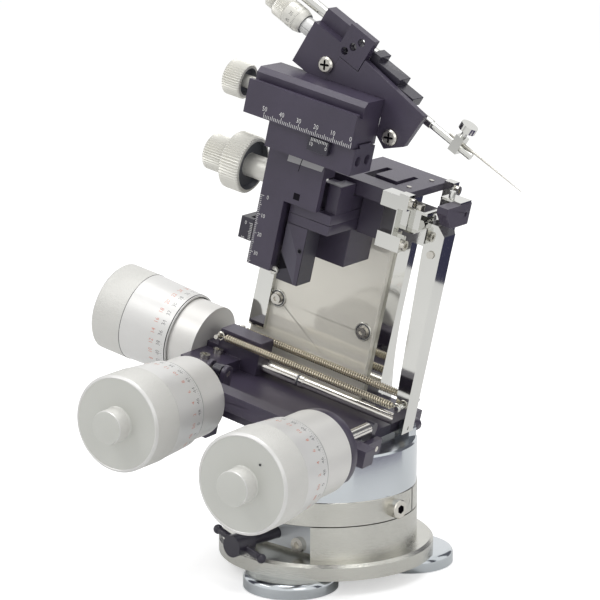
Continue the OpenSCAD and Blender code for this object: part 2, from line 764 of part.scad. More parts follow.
// Bell crank: hub, arm and round nose, drawn in a plane with the pivot at zero
crank_tail = 6;
crank_arm_t = 4;
crank_tail_t = 2.4;
module crank(arm_dir, tail_dir) difference() {
    union() {
        cylinder(r = crank_hub_r, h = crank_w, center = true);
        translate([0, arm_dir * crank_arm / 2, 0])
            cube([crank_arm_t, crank_arm, crank_w], center = true);
        translate([0, arm_dir * crank_arm, 0]) cylinder(r = crank_hub_r, h = crank_w, center = true);
        translate([tail_dir * crank_tail / 2, 0, 0])
            cube([crank_tail, crank_tail_t, crank_w], center = true);
    }
    cylinder(r = crank_pin_r + shaft_gap, h = crank_w + 2 * cut, center = true);
}
module in_crank(x, y, z) in_head() translate([x, y, z]) rotate([90, 0, 90]) children();
module y_crank() color(dark) in_crank(b_x, y_crank_y, y_crank_z) crank(-1, 1);
module z_crank() color(dark) in_crank(c_x, z_crank_y, z_crank_z) crank(1, 1);

// Fine stage, moved along X by the lever: a frame with a window
top_x0 = -57;
top_y0 = -11;
window_side = 11;
window_l = 19;
window_w = 24;
lip_t = 3;
lip_h = 7.5;
block_gap = 0.3;
flex_l = 12.3;
flex_y0 = -5;
flex_w = 15;
flex_down = 15.8;
flex_up = 4.6;
flex_bevel = 2.5;
neck_l = 3;
neck_w = 9;
shelf_t = 1.6;
shelf_over = 3.2;
shelf_screw_in = 4;
corner_l = 9.6;
corner_w = 9;
top_x1 = top_x0 + top_l;
top_y1 = top_y0 + top_w;
top_face = top_z + top_t;
window_x1 = top_x1 - window_side;
window_x0 = window_x1 - window_l;
window_y0 = top_y0 + window_side;
flex_x1 = nose_x - nose_r - block_gap;
flex_x0 = flex_x1 - flex_l;
flex_z0 = top_z - flex_down;
flex_z1 = top_z - flex_up;
shelf_z1 = flex_z1 + shelf_t;
module top_frame() color(anodised) in_head() difference() {
    union() {
        box(top_x0, top_x1, top_y0, top_y1, top_z, top_face);
        box(top_x0, top_x1, top_y0 - lip_t, top_y0 + cut, top_face - lip_h, top_face);
    }
    box(window_x0, window_x1, window_y0, window_y0 + window_w, top_z - cut, top_face + cut);
    box(top_x1 - corner_l - fit_gap, top_x1 + cut, clamp_y0 - cut, clamp_y0 + corner_w + fit_gap,
        top_face - lip_h - cut, top_face + cut);
}

// Leaf strips under the frame, each between clamp blocks, and the block that the lever's
// nose moves, hung from the frame's end
clamp_l = 5;
clamp_w = 6;
clamp_h = 8;
clamp_over = 1.5;
leaf_t = 0.6;
leaf_l = 30;
pad_l = 8;
pad_h = 8;
rear_pad_h = 6;
module leaf_hanger(y0, drop, low_h) {
    leaf_x1 = top_x1 + leaf_t;
    box(top_x1, leaf_x1, y0, y0 + clamp_w, top_face + clamp_over - drop, top_face + clamp_over);
    box(leaf_x1 - fit_gap, leaf_x1 + clamp_l, y0, y0 + clamp_w, top_face + clamp_over - clamp_h,
        top_face + clamp_over);
    box(leaf_x1 - fit_gap, leaf_x1 + clamp_l, y0, y0 + clamp_w, top_face + clamp_over - drop,
        top_face + clamp_over - drop + low_h);
}
clamp_y0 = top_y0 - lip_t - clamp_over;
rear_clamp_in = 2.3;
rear_clamp_y0 = top_y1 - rear_clamp_in - clamp_w;
rear_leaf_l = 14;
flex_mid = flex_y0 + flex_w / 2;
module leaf_clamps() color(chrome) in_head() {
    leaf_hanger(clamp_y0, leaf_l, pad_h);
    leaf_hanger(rear_clamp_y0, rear_leaf_l, rear_pad_h);
    box(top_x1 - corner_l, top_x1 + fit_gap, clamp_y0, clamp_y0 + corner_w, top_face - lip_h, top_face);
    box(top_x1 - pad_l, top_x1 + fit_gap, clamp_y0, clamp_y0 + clamp_w, top_face + clamp_over - leaf_l,
        top_face + clamp_over - leaf_l + pad_h);
    slab_xz(flex_y0, flex_y0 + flex_w) polygon([[flex_x0, flex_z0], [flex_x1 - flex_bevel, flex_z0],
        [flex_x1, flex_z0 + flex_bevel], [flex_x1, flex_z1], [flex_x0, flex_z1]]);
    box(flex_x0, flex_x1 + shelf_over, flex_y0, flex_y0 + flex_w, flex_z1 - fit_gap, shelf_z1);
    box(flex_x0, flex_x0 + neck_l, flex_mid, flex_mid + neck_w, flex_z1, top_z);
}
// Screws in the clamp blocks and on the shelf, and set screws beside the window
set_screw_in = 4;
set_screw_r = 1.3;
set_screw_up = 0.4;
module leaf_screw_place(y0, z) translate([top_x1 + leaf_t + clamp_l, y0 + clamp_w / 2, z])
    rotate([0, 90, 0]) cap_head(small_cap_r);
module stage_screws() color(steel) in_head() {
    leaf_screw_place(clamp_y0, top_face + clamp_over - clamp_h / 2);
    leaf_screw_place(clamp_y0, top_face + clamp_over - leaf_l + pad_h / 2);
    leaf_screw_place(rear_clamp_y0, top_face + clamp_over - clamp_h / 2);
    translate([flex_x1 - shelf_screw_in, flex_y0 + shelf_screw_in, shelf_z1]) cap_head(small_cap_r);
    for (y = [window_y0 + set_screw_in, window_y0 + window_w + set_screw_in])
        translate([window_x1 + window_side / 2, y, top_face]) cylinder(r = set_screw_r, h = set_screw_up);
}

// Block of the cross stage, with a key that stands in the window
y_block_in = 1.3;
y_block_l = 12.7;
y_block_front = 6;
y_block_h = 24.5;
key_in = 3;
key_over = 1;
y_block_x1 = window_x1 - y_block_in;
y_block_x0 = y_block_x1 - y_block_l;
y_block_y0 = top_y0 + y_block_front;
y_block_y1 = window_y0 + window_w;
y_block_z1 = top_z - stage_gap;
y_block_z0 = y_block_z1 - y_block_h;
module y_block() color(anodised) in_head() {
    box(y_block_x0, y_block_x1, y_block_y0, y_block_y1, y_block_z0, y_block_z1);
    box(y_block_x0, y_block_x1, window_y0 + key_in, window_y0 + window_w - key_in,
        y_block_z1 - cut, top_face + key_over);
}

// Bracket of the vertical stage, beside the block: two plates, an upper and a lower block
bracket_l = 28.9;
bracket_y1 = 12;
plate1_t = 5.3;
plate2_t = 5.3;
plate2_in = 4;
upper_l = 6;
upper_gap = 0.9;
upper_h = 14.7;
lower_l = 19.6;
lower_h = 20.7;
lower_y0 = -10;
lower_y1 = 16;
notch_l = 3.4;
notch_w = 4.4;
bracket_x1 = y_block_x0 - stage_gap;
bracket_x0 = bracket_x1 - bracket_l;
bracket_y0 = bracket_y1 - bracket_w;
bracket_z = y_block_z0 + 2 * stage_gap + cut;
bracket_mid = bracket_z + plate1_t;
bracket_top = bracket_mid + plate2_t;
module z_bracket() color(anodised) in_head() {
    difference() {
        union() {
            box(bracket_x0, bracket_x1, bracket_y0, bracket_y1, bracket_z, bracket_mid);
            box(bracket_x0 + plate2_in, bracket_x1, bracket_y0 + cut, bracket_y1 - plate2_in,
                bracket_mid - cut, bracket_top);
        }
        box(bracket_x0 - cut, bracket_x0 + notch_l, bracket_y0 - cut, bracket_y0 + notch_w,
            bracket_z - cut, bracket_top + cut);
    }
    box(bracket_x1 - upper_l, bracket_x1, bracket_y0, top_y0 - lip_t - upper_gap,
        bracket_top - cut, bracket_top + upper_h);
    box(bracket_x1 - lower_l, bracket_x1, lower_y0, lower_y1, bracket_z - lower_h, bracket_z + cut);
}

// Rail under the bracket's front, which guides the vertical slide
rail_in = 5;
rail_l = 12.6;
rail_front = 3.6;
rail_back = 10;
rail_h = 30.7;
v_rail_x0 = bracket_x0 + rail_in;
v_rail_x1 = v_rail_x0 + rail_l;
v_rail_y0 = bracket_y0 - rail_front;
module v_rail() color(dark) in_head() {
    box(v_rail_x0, v_rail_x1, v_rail_y0, bracket_y0 + rail_back, bracket_z - rail_h, bracket_z);
    box(v_rail_x0, v_rail_x1, v_rail_y0, bracket_y0, bracket_z - cut, bracket_top);
}

// Vertical slide: a front plate with the scale column, a key and a rear block
vslide_gap = 0.4;
column_w = 14;
vhead_h = 26.5;
vhead_l = 33.1;
key_l = 10;
key_w = 8;
rear_h = 9.5;
rear_l = 31;
rear_in = 2;
vslide_up = 37.5;
hub_r = 6;
hub_l = 12;
dish_in = 2.2;
dish_depth = 2;
knob_shaft_r = 2;
knob_shaft_l = 26;
coarse_t = 12;
fine_t = 12;
fine_neck = 2;
fine_shaft_r = 1.2;
vslide_y1 = v_rail_y0 - vslide_gap;
vslide_y0 = vslide_y1 - vfront_t;
vslide_top = bracket_z + vslide_up;
vslide_bottom = vslide_top - vscale_l;
column_gap = 2;
column_x1 = v_rail_x0 - column_gap;
column_x0 = column_x1 - column_w;
vhead_x1 = column_x0 + vhead_l;
key_x1 = bracket_x0 + notch_l - vslide_gap;
key_x0 = key_x1 - key_l;
key_y1 = vslide_y1 + key_w;
vknob_y = vslide_y1 + key_w - knob_shaft_r - cut;
vknob_z = vslide_top - vknob_down;
coarse_x1 = column_x0 - hub_l - run_gap;
coarse_x0 = coarse_x1 - coarse_t;
fine_x1 = coarse_x0 - fine_neck;
fine_x0 = fine_x1 - fine_t;
square_hole = 3;
square_in = 9;
module v_slide() color(anodised) in_head() difference() {
    union() {
        box(column_x0, column_x1, vslide_y0, vslide_y1, vslide_bottom, vslide_top);
        box(column_x1 - cut, vhead_x1, vslide_y0, vslide_y1, vslide_top - vhead_h, vslide_top);
        box(key_x0, key_x1, vslide_y1 - cut, key_y1, vslide_bottom, vslide_top);
        box(column_x0 + rear_in, column_x0 + rear_in + rear_l, vslide_y1 - cut, key_y1,
            vslide_top - rear_h, vslide_top);
    }
    rod_x(column_x0 - cut, coarse_x1 + knob_shaft_l + 2 * run_gap, vknob_y, vknob_z,
        knob_shaft_r + shaft_gap);
    box(column_x1 + square_in, column_x1 + square_in + square_hole, vslide_y0 - cut, vslide_y1 + cut,
        vslide_top - vhead_h / 2, vslide_top - vhead_h / 2 + square_hole);
}
module on_vknob(x) in_head() translate([x, vknob_y, vknob_z]) rotate([0, 90, 0]) children();
knurls = 36;
module dished(r, h) difference() {
    knurled(r, h, knurls);
    translate([0, 0, h - dish_depth]) cylinder(r = r - dish_in, h = dish_depth + cut);
}
module coarse_wheel() color(satin) difference() {
    union() {
        on_vknob(coarse_x0) dished(wheel_r, coarse_t);
        on_vknob(coarse_x1 - dish_depth - cut) cylinder(r = hub_r, h = hub_l + dish_depth + cut);
        on_vknob(coarse_x1) cylinder(r = knob_shaft_r, h = knob_shaft_l);
    }
    on_vknob(coarse_x0 - cut) cylinder(r = fine_shaft_r + shaft_gap, h = coarse_t + cut);
}
module fine_knob() color(satin) {
    on_vknob(fine_x0) knurled(fine_r, fine_t, knurls);
    on_vknob(fine_x1 - cut) cylinder(r = fine_shaft_r, h = coarse_t + fine_neck);
}

// Vernier plate beside the scale column, on an arm from the rail
vernier_l = 7.6;
vernier_t = 3;
vernier_h = 11.5;
vernier_z = bracket_z - rail_h / 2;
vernier_web = 4;
arm_gap = 2.4;
vernier_x1 = column_x0 - vslide_gap;
vernier_x0 = vernier_x1 - vernier_l;
arm_y0 = key_y1 + arm_gap;
arm_w = 2.6;
module v_vernier() color(dark) in_head() {
    box(vernier_x0, vernier_x1, vslide_y0, vslide_y0 + vernier_t, vernier_z, vernier_z + vernier_h);
    box(vernier_x0, vernier_x0 + vernier_web, vslide_y0 + cut, arm_y0 + arm_w, vernier_z,
        vernier_z + vernier_h);
    box(vernier_x0 + cut, v_rail_x0, arm_y0, arm_y0 + arm_w, vernier_z, vernier_z + vernier_h);
}

// Horizontal slide: a rail with a dovetail, and the scale slide over it
hrail_l = 50;
hrail_w = 20;
hrail_in = 2;
hrail_front = 9;
dove_w = 10;
dove_h = 1.8;
dove_side = 1.2;
hrail_screw_r = 2.6;
hrail_screw_depth = 3;
hrail_screw_pitch = 9;
hrail_x0 = column_x0 + hrail_in;
hrail_x1 = hrail_x0 + hrail_l;
hrail_y0 = vslide_y0 - hrail_front;
hrail_y1 = hrail_y0 + hrail_w;
hrail_z1 = vslide_top + hrail_h;
dove_y = hrail_y0 + hrail_w / 2;
module dovetail(grow) polygon([
    [dove_y - dove_w / 2 - grow, hrail_z1 - cut], [dove_y + dove_w / 2 + grow, hrail_z1 - cut],
    [dove_y + dove_w / 2 + grow, hrail_z1],
    [dove_y + dove_w / 2 + dove_side + grow, hrail_z1 + dove_h + grow],
    [dove_y - dove_w / 2 - dove_side - grow, hrail_z1 + dove_h + grow],
    [dove_y - dove_w / 2 - grow, hrail_z1]]);
module along_x(x0, x1) translate([x0, 0, 0]) rotate([90, 0, 90]) linear_extrude(x1 - x0) children();
module h_rail() color(anodised) in_head() difference() {
    union() {
        box(hrail_x0, hrail_x1, hrail_y0, hrail_y1, vslide_top, hrail_z1);
        along_x(hrail_x0, hrail_x1) dovetail(0);
    }
    for (side = [-1, 1])
        rod_x(hrail_x1 - hrail_screw_depth, hrail_x1 + cut, dove_y + side * hrail_screw_pitch / 2,
            vslide_top + hrail_h / 2, hrail_screw_r);
}
hvernier_l = 12;
hvernier_h = 6;
hvernier_t = 3;
module h_vernier() color(dark) in_head()
    box(hrail_x0 + hrail_l / 2, hrail_x0 + hrail_l / 2 + hvernier_l, hrail_y0 - hvernier_t, hrail_y0,
        hrail_z1 - hvernier_h - cut, hrail_z1 - run_gap);

hslide_in = 14;
hscale_t = 2.7;
hbody_h = 14.7;
slab_h = 8;
slab_front = 6;
slab_w = 24;
slab_chamfer = 2.5;
hslide_x0 = hrail_x0 - hslide_in;
hslide_x1 = hslide_x0 + hslide_l;
hslide_y0 = hrail_y0 - hvernier_t;
hslide_y1 = hslide_y0 + hslide_w;
hslide_z0 = hrail_z1 + run_gap;
slab_y0 = hslide_y0 + slab_front;
slab_y1 = slab_y0 + slab_w;
slab_z0 = hslide_z0 + hbody_h;
slab_top = slab_z0 + slab_h;
hknob_y = hslide_y0 + hslide_w / 2;
hknob_z = hslide_z0 + hbody_h * 3 / 4;
hknob_t = 11;
hknob_neck = 9;
hknob_hub_r = 3.4;
hknob_shaft_l = 8;
module h_slide() color(anodised) in_head() difference() {
    union() {
        box(hslide_x0, hslide_x1, hslide_y0, hslide_y0 + hscale_t, hslide_z0, hslide_z0 + hscale_h);
        box(hslide_x0, hslide_x1, hslide_y0 + hscale_t - cut, hslide_y1 - slab_front, hslide_z0, slab_z0);
        along_x(hslide_x0, hslide_x1) polygon([[slab_y0, slab_z0 - cut], [slab_y1, slab_z0 - cut],
            [slab_y1, slab_top - slab_chamfer], [slab_y1 - slab_chamfer, slab_top],
            [slab_y0 + slab_chamfer, slab_top], [slab_y0, slab_top - slab_chamfer]]);
    }
    along_x(hslide_x0 - cut, hslide_x1 + cut) dovetail(run_gap);
    rod_x(hslide_x0 - cut, hslide_x0 + hknob_shaft_l + run_gap, hknob_y, hknob_z, knob_shaft_r + shaft_gap);
}
module on_hknob(x) in_head() translate([x, hknob_y, hknob_z]) rotate([0, 90, 0]) children();
module h_knob() color(satin) {
    on_hknob(hslide_x0 - hknob_neck - hknob_t) dished(hknob_r, hknob_t);
    on_hknob(hslide_x0 - hknob_neck - dish_depth - cut)
        cylinder(r = hknob_hub_r, h = hknob_neck + dish_depth + cut - run_gap);
    on_hknob(hslide_x0 - hknob_neck) cylinder(r = knob_shaft_r, h = hknob_neck + hknob_shaft_l);
}

// Electrode drive: its own frame lies along the slope, X down the electrode, Z square to it
drive_in = 32;
drive_up = 14;
drive_x = hslide_x0 + drive_in;
drive_z = slab_top + drive_up;
drive_y0 = slab_y1 - slab_front;
body_u0 = -19;
body_u1 = 2;
body_w0 = -18;
body_w1 = 6;
body_depth = 14;
cap_rise = 7.5;
cap_depth = 8;
drive_y1 = drive_y0 + body_depth;
guide_y = drive_y1 - guide_r;
guide_w = body_w1 + guide_r - run_gap;
mic_in = 7.5;
mic_y = drive_y0 + mic_in;
mic_w = -1.5;
spindle_r = 2.2;
tab_t = 5;
tab_h = 17.5;
tab_u0 = -1.4;
tab_u1 = 14.2;
tab_holes = 3;
tab_hole_u = 2.7;
tab_hole_w = 3.9;
tab_hole_du = 2.8;
tab_hole_dw = 4.4;
pan_u = -1.8;
pan_w = -7.8;
pan_h = 2.2;
module in_drive() translate([drive_x, 0, drive_z]) rotate([0, drive_slope, 0]) children();
module under_slab(x1) box(hslide_x0, x1, slab_y0, slab_y1 + drive_up, slab_top - drive_up, slab_top);
module drive_body() color(anodised) in_head() difference() {
    in_drive() difference() {
        union() {
            box(body_u0, body_u1, drive_y0, drive_y1, body_w0, body_w1);
            box(body_u0, body_u1, drive_y1 - cap_depth, drive_y1, body_w1 - cut, body_w1 + cap_rise);
            box(tab_u0, tab_u1, drive_y0, drive_y0 + tab_t, 0, tab_h);
        }
        rod_x(body_u0 - cut, body_u1 + cut, mic_y, mic_w, spindle_r + shaft_gap);
        rod_x(body_u0 - cut, body_u1 + cut, guide_y, guide_w, guide_r + shaft_gap);
        for (i = [0:tab_holes - 1])
            rod_y(drive_y0 - cut, drive_y0 + tab_t + cut, tab_hole_u + i * tab_hole_du,
                tab_hole_w + i * tab_hole_dw, tab_hole_r);
    }
    under_slab(hslide_x1);
}

// Triangular plate that carries the drive's rail and hangs over the slide's end
sector_t = 4;
sector_w = 6.9;
sector_far_u = 56.5;
sector_far_w = 3.8;
sector_end_w = -15.4;
sector_low_u = 47;
sector_low_w = -23.1;
sector_mid_u = 30;
rail_u0 = 23;
rail_u1 = 38;
rail_depth = 12;
rail_w = 6;
sector_screw_w = -16;
module angle_bracket() color(anodised) in_head() difference() {
    in_drive() {
        translate([0, drive_y0 + sector_t, 0]) rotate([90, 0, 0]) linear_extrude(sector_t) polygon([
            [body_u1, body_w0], [body_u1, -run_gap], [tab_u1 + run_gap, -run_gap],
            [tab_u1 + run_gap, sector_w],
            [sector_far_u, sector_far_w], [sector_far_u - cut, sector_end_w], [sector_low_u, sector_low_w],
            [sector_mid_u, sector_end_w]]);
        box(rail_u0, rail_u1, drive_y0 + sector_t - cut, drive_y0 + sector_t + rail_depth, -rail_w, 0);
    }
    under_slab(hslide_x1);
}
module bracket_screws() color(steel) in_head() in_drive()
    for (at = [[pan_u, pan_w], [sector_low_u, sector_screw_w]])
        rod_y(drive_y0 - pan_h, drive_y0, at[0], at[1], pan_r);

// Small screw drive: fixed sleeve, and the thimble with its spindle
mic_sleeve_r = 4.5;
mic_sleeve_l = 15;
thimble_u0 = -44;
thimble_u1 = -26;
thimble_floor = 3;
ratchet_r = 5;
ratchet_l = 6;
carriage_u0 = 14;
module on_mic(u) in_head() in_drive() translate([u, mic_y, mic_w]) rotate([0, 90, 0]) children();
module mic_sleeve() color(satin) difference() {
    on_mic(body_u0 - mic_sleeve_l) cylinder(r = mic_sleeve_r, h = mic_sleeve_l);
    on_mic(body_u0 - mic_sleeve_l - cut) cylinder(r = spindle_r + run_gap, h = mic_sleeve_l + 2 * cut);
}
module mic_thimble() color(satin) {
    difference() {
        on_mic(thimble_u0) knurled(mic_r, thimble_u1 - thimble_u0, knurls);
        on_mic(thimble_u0 + thimble_floor)
            cylinder(r = mic_sleeve_r + run_gap, h = thimble_u1 - thimble_u0);
    }
    on_mic(thimble_u0 - ratchet_l) knurled(ratchet_r, ratchet_l + cut, knurls);
    on_mic(thimble_u0 + cut) cylinder(r = spindle_r, h = carriage_u0 - run_gap - thimble_u0 - cut);
}

// Carriage on the rail, its guide rod and the holder that it carries
carriage_h = 4.7;
carriage_y0 = drive_y0 + tab_t + run_gap;
carriage_y1 = drive_y0 + sector_t + rail_depth;
carriage_w1 = run_gap + carriage_h;
carriage_u1 = carriage_u0 + carriage_l;
carriage_lug = 2.5;
carriage_drop = 5;
carriage_cap_l = 20;
carriage_cap_h = 3.5;
guide_lug = 5;
guide_l = 55;
module carriage() color(dark) in_head() in_drive() {
    box(carriage_u0, carriage_u1, carriage_y0, carriage_y1, run_gap, carriage_w1);
    box(carriage_u0, carriage_u0 + carriage_lug, carriage_y0, carriage_y1, -carriage_drop, run_gap + cut);
    box(carriage_u0 + cut, carriage_u0 + carriage_cap_l, carriage_y0, carriage_y1,
        carriage_w1 - cut, carriage_w1 + carriage_cap_h);
    box(carriage_u0, carriage_u0 + guide_lug, carriage_y0, carriage_y1, carriage_w1 - cut, guide_w + guide_r);
}
module guide_rod() color(chrome) in_head() in_drive()
    rod_x(carriage_u0 - guide_l, carriage_u0, guide_y, guide_w, guide_r);

holder_tube_r = 2.4;
holder_tube_l = 13;
holder_rod_l = 26;
holder_w = -1.3;
clamp_in = 14.3;
clamp_block_l = 5;
clamp_block_w = 6;
clamp_under = 3.3;
clamp_over_rod = 3;
holder_y = (carriage_y0 + carriage_y1) / 2;
holder_u1 = carriage_u1 + holder_tube_l;
holder_u2 = holder_u1 + holder_rod_l;
block_u0 = holder_u1 + clamp_in;
thumb_r = 1.6;
thumb_head_r = 4.5;
thumb_head_h = 3.4;
thumb_l = 3.6;
thumb_depth = 1.8;
needle_r = 0.6;
needle_tip_r = 0.15;
needle_back = 4;
electrode_w = holder_w + holder_r + needle_r + fit_gap;
electrode_u0 = block_u0 - needle_back;
holder_top = electrode_w + clamp_over_rod;
module holder() color(chrome) in_head() in_drive() difference() {
    union() {
        rod_x(carriage_u1, holder_u1, holder_y, holder_w, holder_tube_r);
        rod_x(holder_u1 - cut, holder_u2, holder_y, holder_w, holder_r);
        box(block_u0, block_u0 + clamp_block_l, holder_y - clamp_block_w / 2, holder_y + clamp_block_w / 2,
            holder_w - clamp_under, holder_top);
    }
    rod_x(block_u0 - cut, block_u0 + clamp_block_l + cut, holder_y, electrode_w, needle_r + fit_gap);
    rod_z(holder_top - thumb_depth - run_gap, holder_top + cut, block_u0 + clamp_block_l / 2, holder_y,
        thumb_r + shaft_gap);
}
module clamp_thumbscrew() color(chrome) in_head() in_drive()
    translate([block_u0 + clamp_block_l / 2, holder_y, holder_top]) {
        translate([0, 0, -thumb_depth]) cylinder(r = thumb_r, h = thumb_depth + thumb_l);
        translate([0, 0, thumb_l]) cylinder(r = thumb_head_r, h = thumb_head_h);
    }

// Electrode: a fine tapered needle that lies along the holder's rod
module electrode() color(steel) in_head() in_drive() translate([electrode_u0, holder_y, electrode_w])
    rotate([0, 90, 0]) {
        cylinder(r = needle_r, h = holder_u2 - electrode_u0);
        translate([0, 0, holder_u2 - electrode_u0]) cylinder(r1 = needle_r, r2 = needle_tip_r, h = needle_l);
    }

feet();
flange();
fixed_ring();
clamp_bar();
bar_screws();
brake_pad();
lock_screw();
tommy_bar();
turret();
clamp_collar();
collar_screw();
tilt_pins();
head_plate();
drum_block();
block_screws();
cross_beam();
rear_frame();
mirror_plate();
plate_screws();
side_strip();
end_beam();
head_pins();
sleeve_a();
sleeve_b();
sleeve_c();
spring_front();
spring_rear();
push_rod_a();
push_rod_b();
push_rod_c();
drum_a();
drum_b();
drum_c();
x_lever();
y_crank();
z_crank();
top_frame();
leaf_clamps();
stage_screws();
y_block();
z_bracket();
v_rail();
v_vernier();
v_slide();
coarse_wheel();
fine_knob();
h_rail();
h_vernier();
h_slide();
h_knob();
angle_bracket();
drive_body();
bracket_screws();
mic_sleeve();
mic_thimble();
carriage();
guide_rod();
holder();
clamp_thumbscrew();
electrode();
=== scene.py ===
# %% [markdown]
# A micromanipulator: three large drum heads move a lever head by fractions of a
# millimetre, and two scaled slides and a small screw drive carry the electrode.
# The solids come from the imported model, which is the fixed frame of this scene.
# Everything here is metres in that same frame: the origin is on the bench under
# the turntable's axis, Z is up and X points to the right.

# %% Load the frame
import math

import bmesh
import bpy
from mathutils import Matrix, Vector


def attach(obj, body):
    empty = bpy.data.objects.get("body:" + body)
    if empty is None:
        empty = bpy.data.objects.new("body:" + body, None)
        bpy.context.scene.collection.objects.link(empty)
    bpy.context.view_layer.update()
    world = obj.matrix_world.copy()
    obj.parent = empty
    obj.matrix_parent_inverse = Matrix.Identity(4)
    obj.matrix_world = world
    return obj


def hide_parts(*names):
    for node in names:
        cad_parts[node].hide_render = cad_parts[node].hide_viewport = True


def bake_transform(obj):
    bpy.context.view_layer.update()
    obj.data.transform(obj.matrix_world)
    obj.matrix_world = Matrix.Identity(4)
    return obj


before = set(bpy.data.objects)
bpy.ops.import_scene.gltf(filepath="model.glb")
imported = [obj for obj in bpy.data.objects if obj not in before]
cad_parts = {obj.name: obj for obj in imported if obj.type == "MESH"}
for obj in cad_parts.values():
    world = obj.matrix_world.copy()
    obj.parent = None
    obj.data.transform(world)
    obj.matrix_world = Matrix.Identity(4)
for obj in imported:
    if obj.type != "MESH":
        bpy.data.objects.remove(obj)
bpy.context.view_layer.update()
MM = 0.001
scene = bpy.context.scene

# %% [markdown]
# The photograph was taken with a long lens from a little above the drums. A long
# lens keeps the parallel edges of the slides nearly parallel, so the camera stands
# more than a metre away and sees only about fourteen degrees.

# %% Camera
CAMERA_AT = Vector((0.6158, -1.0400, 0.3990))
CAMERA_TURN = (77.9498, -0.1814, 31.3398)
LENS = 143.47
SEES_TO = 20


def make_camera():
    data = bpy.data.cameras.new("camera")
    data.lens = LENS
    data.clip_end = SEES_TO
    camera = bpy.data.objects.new("camera", data)
    camera.location = CAMERA_AT
    camera.rotation_euler = [math.radians(a) for a in CAMERA_TURN]
    scene.collection.objects.link(camera)
    scene.camera = camera
    return camera


camera = make_camera()
print("camera at", tuple(round(c, 3) for c in camera.location))

# %% [markdown]
# Finishes are node trees, and a few small helpers keep each tree short. One makes
# a node with its sockets set, and one makes a colour ramp from a list of stops.

# %% Helpers for node trees


def node(tree, kind, **inputs):
    """A node of this kind; inputs are given by name, with _ for a space."""
    made = tree.nodes.new(kind)
    for name, value in inputs.items():
        made.inputs[name.replace("_", " ")].default_value = value
    return made


def ramp(tree, stops, source):
    """A colour ramp through (place, colour) stops, fed by a socket."""
    made = tree.nodes.new("ShaderNodeValToRGB")
    band = made.color_ramp.elements
    while len(band) < len(stops):
        band.new(0.5)
    for stop, (place, colour) in zip(band, stops):
        stop.position = place
        stop.color = (*colour, 1)
    tree.links.new(source, made.inputs["Fac"])
    return made.outputs["Color"]


print("helpers ready")

# %% [markdown]
# Polished metal has hardly any colour of its own: it shows the room. The camera,
# the mirrors and clear pieces see the same plain white backdrop, and matt faces are
# lit a little less by it, so that the lamps can still model the round forms.

# %% World
ROOM_LIGHT = 0.62


def make_world():
    world = bpy.data.worlds.new("studio")
    scene.world = world
    world.use_nodes = True
    tree = world.node_tree
    tree.nodes.clear()
    out = node(tree, "ShaderNodeOutputWorld")
    ray = node(tree, "ShaderNodeLightPath")
    seen = node(tree, "ShaderNodeBackground", Color=(1, 1, 1, 1), Strength=1.0)
    lit = node(tree, "ShaderNodeBackground", Color=(1, 1, 1, 1), Strength=ROOM_LIGHT)
    total = None
    for kind in ("Is Camera Ray", "Is Glossy Ray", "Is Transmission Ray"):
        if total is None:
            total = ray.outputs[kind]
            continue
        add = node(tree, "ShaderNodeMath")
        add.use_clamp = True
        tree.links.new(total, add.inputs[0])
        tree.links.new(ray.outputs[kind], add.inputs[1])
        total = add.outputs[0]
    pick = node(tree, "ShaderNodeMixShader")
    tree.links.new(total, pick.inputs[0])
    tree.links.new(lit.outputs[0], pick.inputs[1])
    tree.links.new(seen.outputs[0], pick.inputs[2])
    tree.links.new(pick.outputs[0], out.inputs[0])


make_world()
scene.view_settings.view_transform = "Standard"
print("room light", ROOM_LIGHT)

# %% [markdown]
# The floor is a wide pale disc. Seen by the camera it is lifted to white, and the
# object's soft shadow still darkens it. Dark cards stand at the sides, as a
# photographer sets them for chrome: mirrors need something dark to draw their edges.

# %% Floor and cards
FLOOR_GREY, FLOOR_LIFT, FLOOR_DROP = 0.80, 0.50, 0.0003


def floor_finish():
    made = bpy.data.materials.new("pale_floor")
    made.use_nodes = True
    tree = made.node_tree
    tree.nodes.clear()
    out = node(tree, "ShaderNodeOutputMaterial")
    matt = node(tree, "ShaderNodeBsdfDiffuse", Color=(FLOOR_GREY, FLOOR_GREY, FLOOR_GREY, 1))
    lift = node(tree, "ShaderNodeEmission", Color=(1, 1, 1, 1), Strength=FLOOR_LIFT)
    ray = node(tree, "ShaderNodeLightPath")
    both = node(tree, "ShaderNodeAddShader")
    pick = node(tree, "ShaderNodeMixShader")
    tree.links.new(matt.outputs[0], both.inputs[0])
    tree.links.new(lift.outputs[0], both.inputs[1])
    tree.links.new(ray.outputs["Is Camera Ray"], pick.inputs[0])
    tree.links.new(matt.outputs[0], pick.inputs[1])
    tree.links.new(both.outputs[0], pick.inputs[2])
    tree.links.new(pick.outputs[0], out.inputs[0])
    return made


def make_floor(radius=4.0, sides=96):
    mesh = bpy.data.meshes.new("floor")
    shape = bmesh.new()
    bmesh.ops.create_circle(shape, cap_ends=True, radius=radius, segments=sides)
    shape.to_mesh(mesh)
    shape.free()
    floor = bpy.data.objects.new("floor", mesh)
    mesh.materials.append(floor_finish())
    floor.location.z = -FLOOR_DROP
    scene.collection.objects.link(floor)
    return floor


make_floor()


def glow_finish(name, shade):
    """A plain shade of light for a card, the same from every side."""
    made = bpy.data.materials.new(name)
    made.use_nodes = True
    made.node_tree.nodes.clear()
    out = node(made.node_tree, "ShaderNodeOutputMaterial")
    glow = node(made.node_tree, "ShaderNodeEmission", Color=(*shade, 1), Strength=1.0)
    made.node_tree.links.new(glow.outputs[0], out.inputs[0])
    return made


def one_face(name, corners):
    """A mesh of a single flat face through these corners."""
    mesh = bpy.data.meshes.new(name)
    shape = bmesh.new()
    shape.faces.new([shape.verts.new(corner) for corner in corners])
    shape.to_mesh(mesh)
    shape.free()
    return mesh


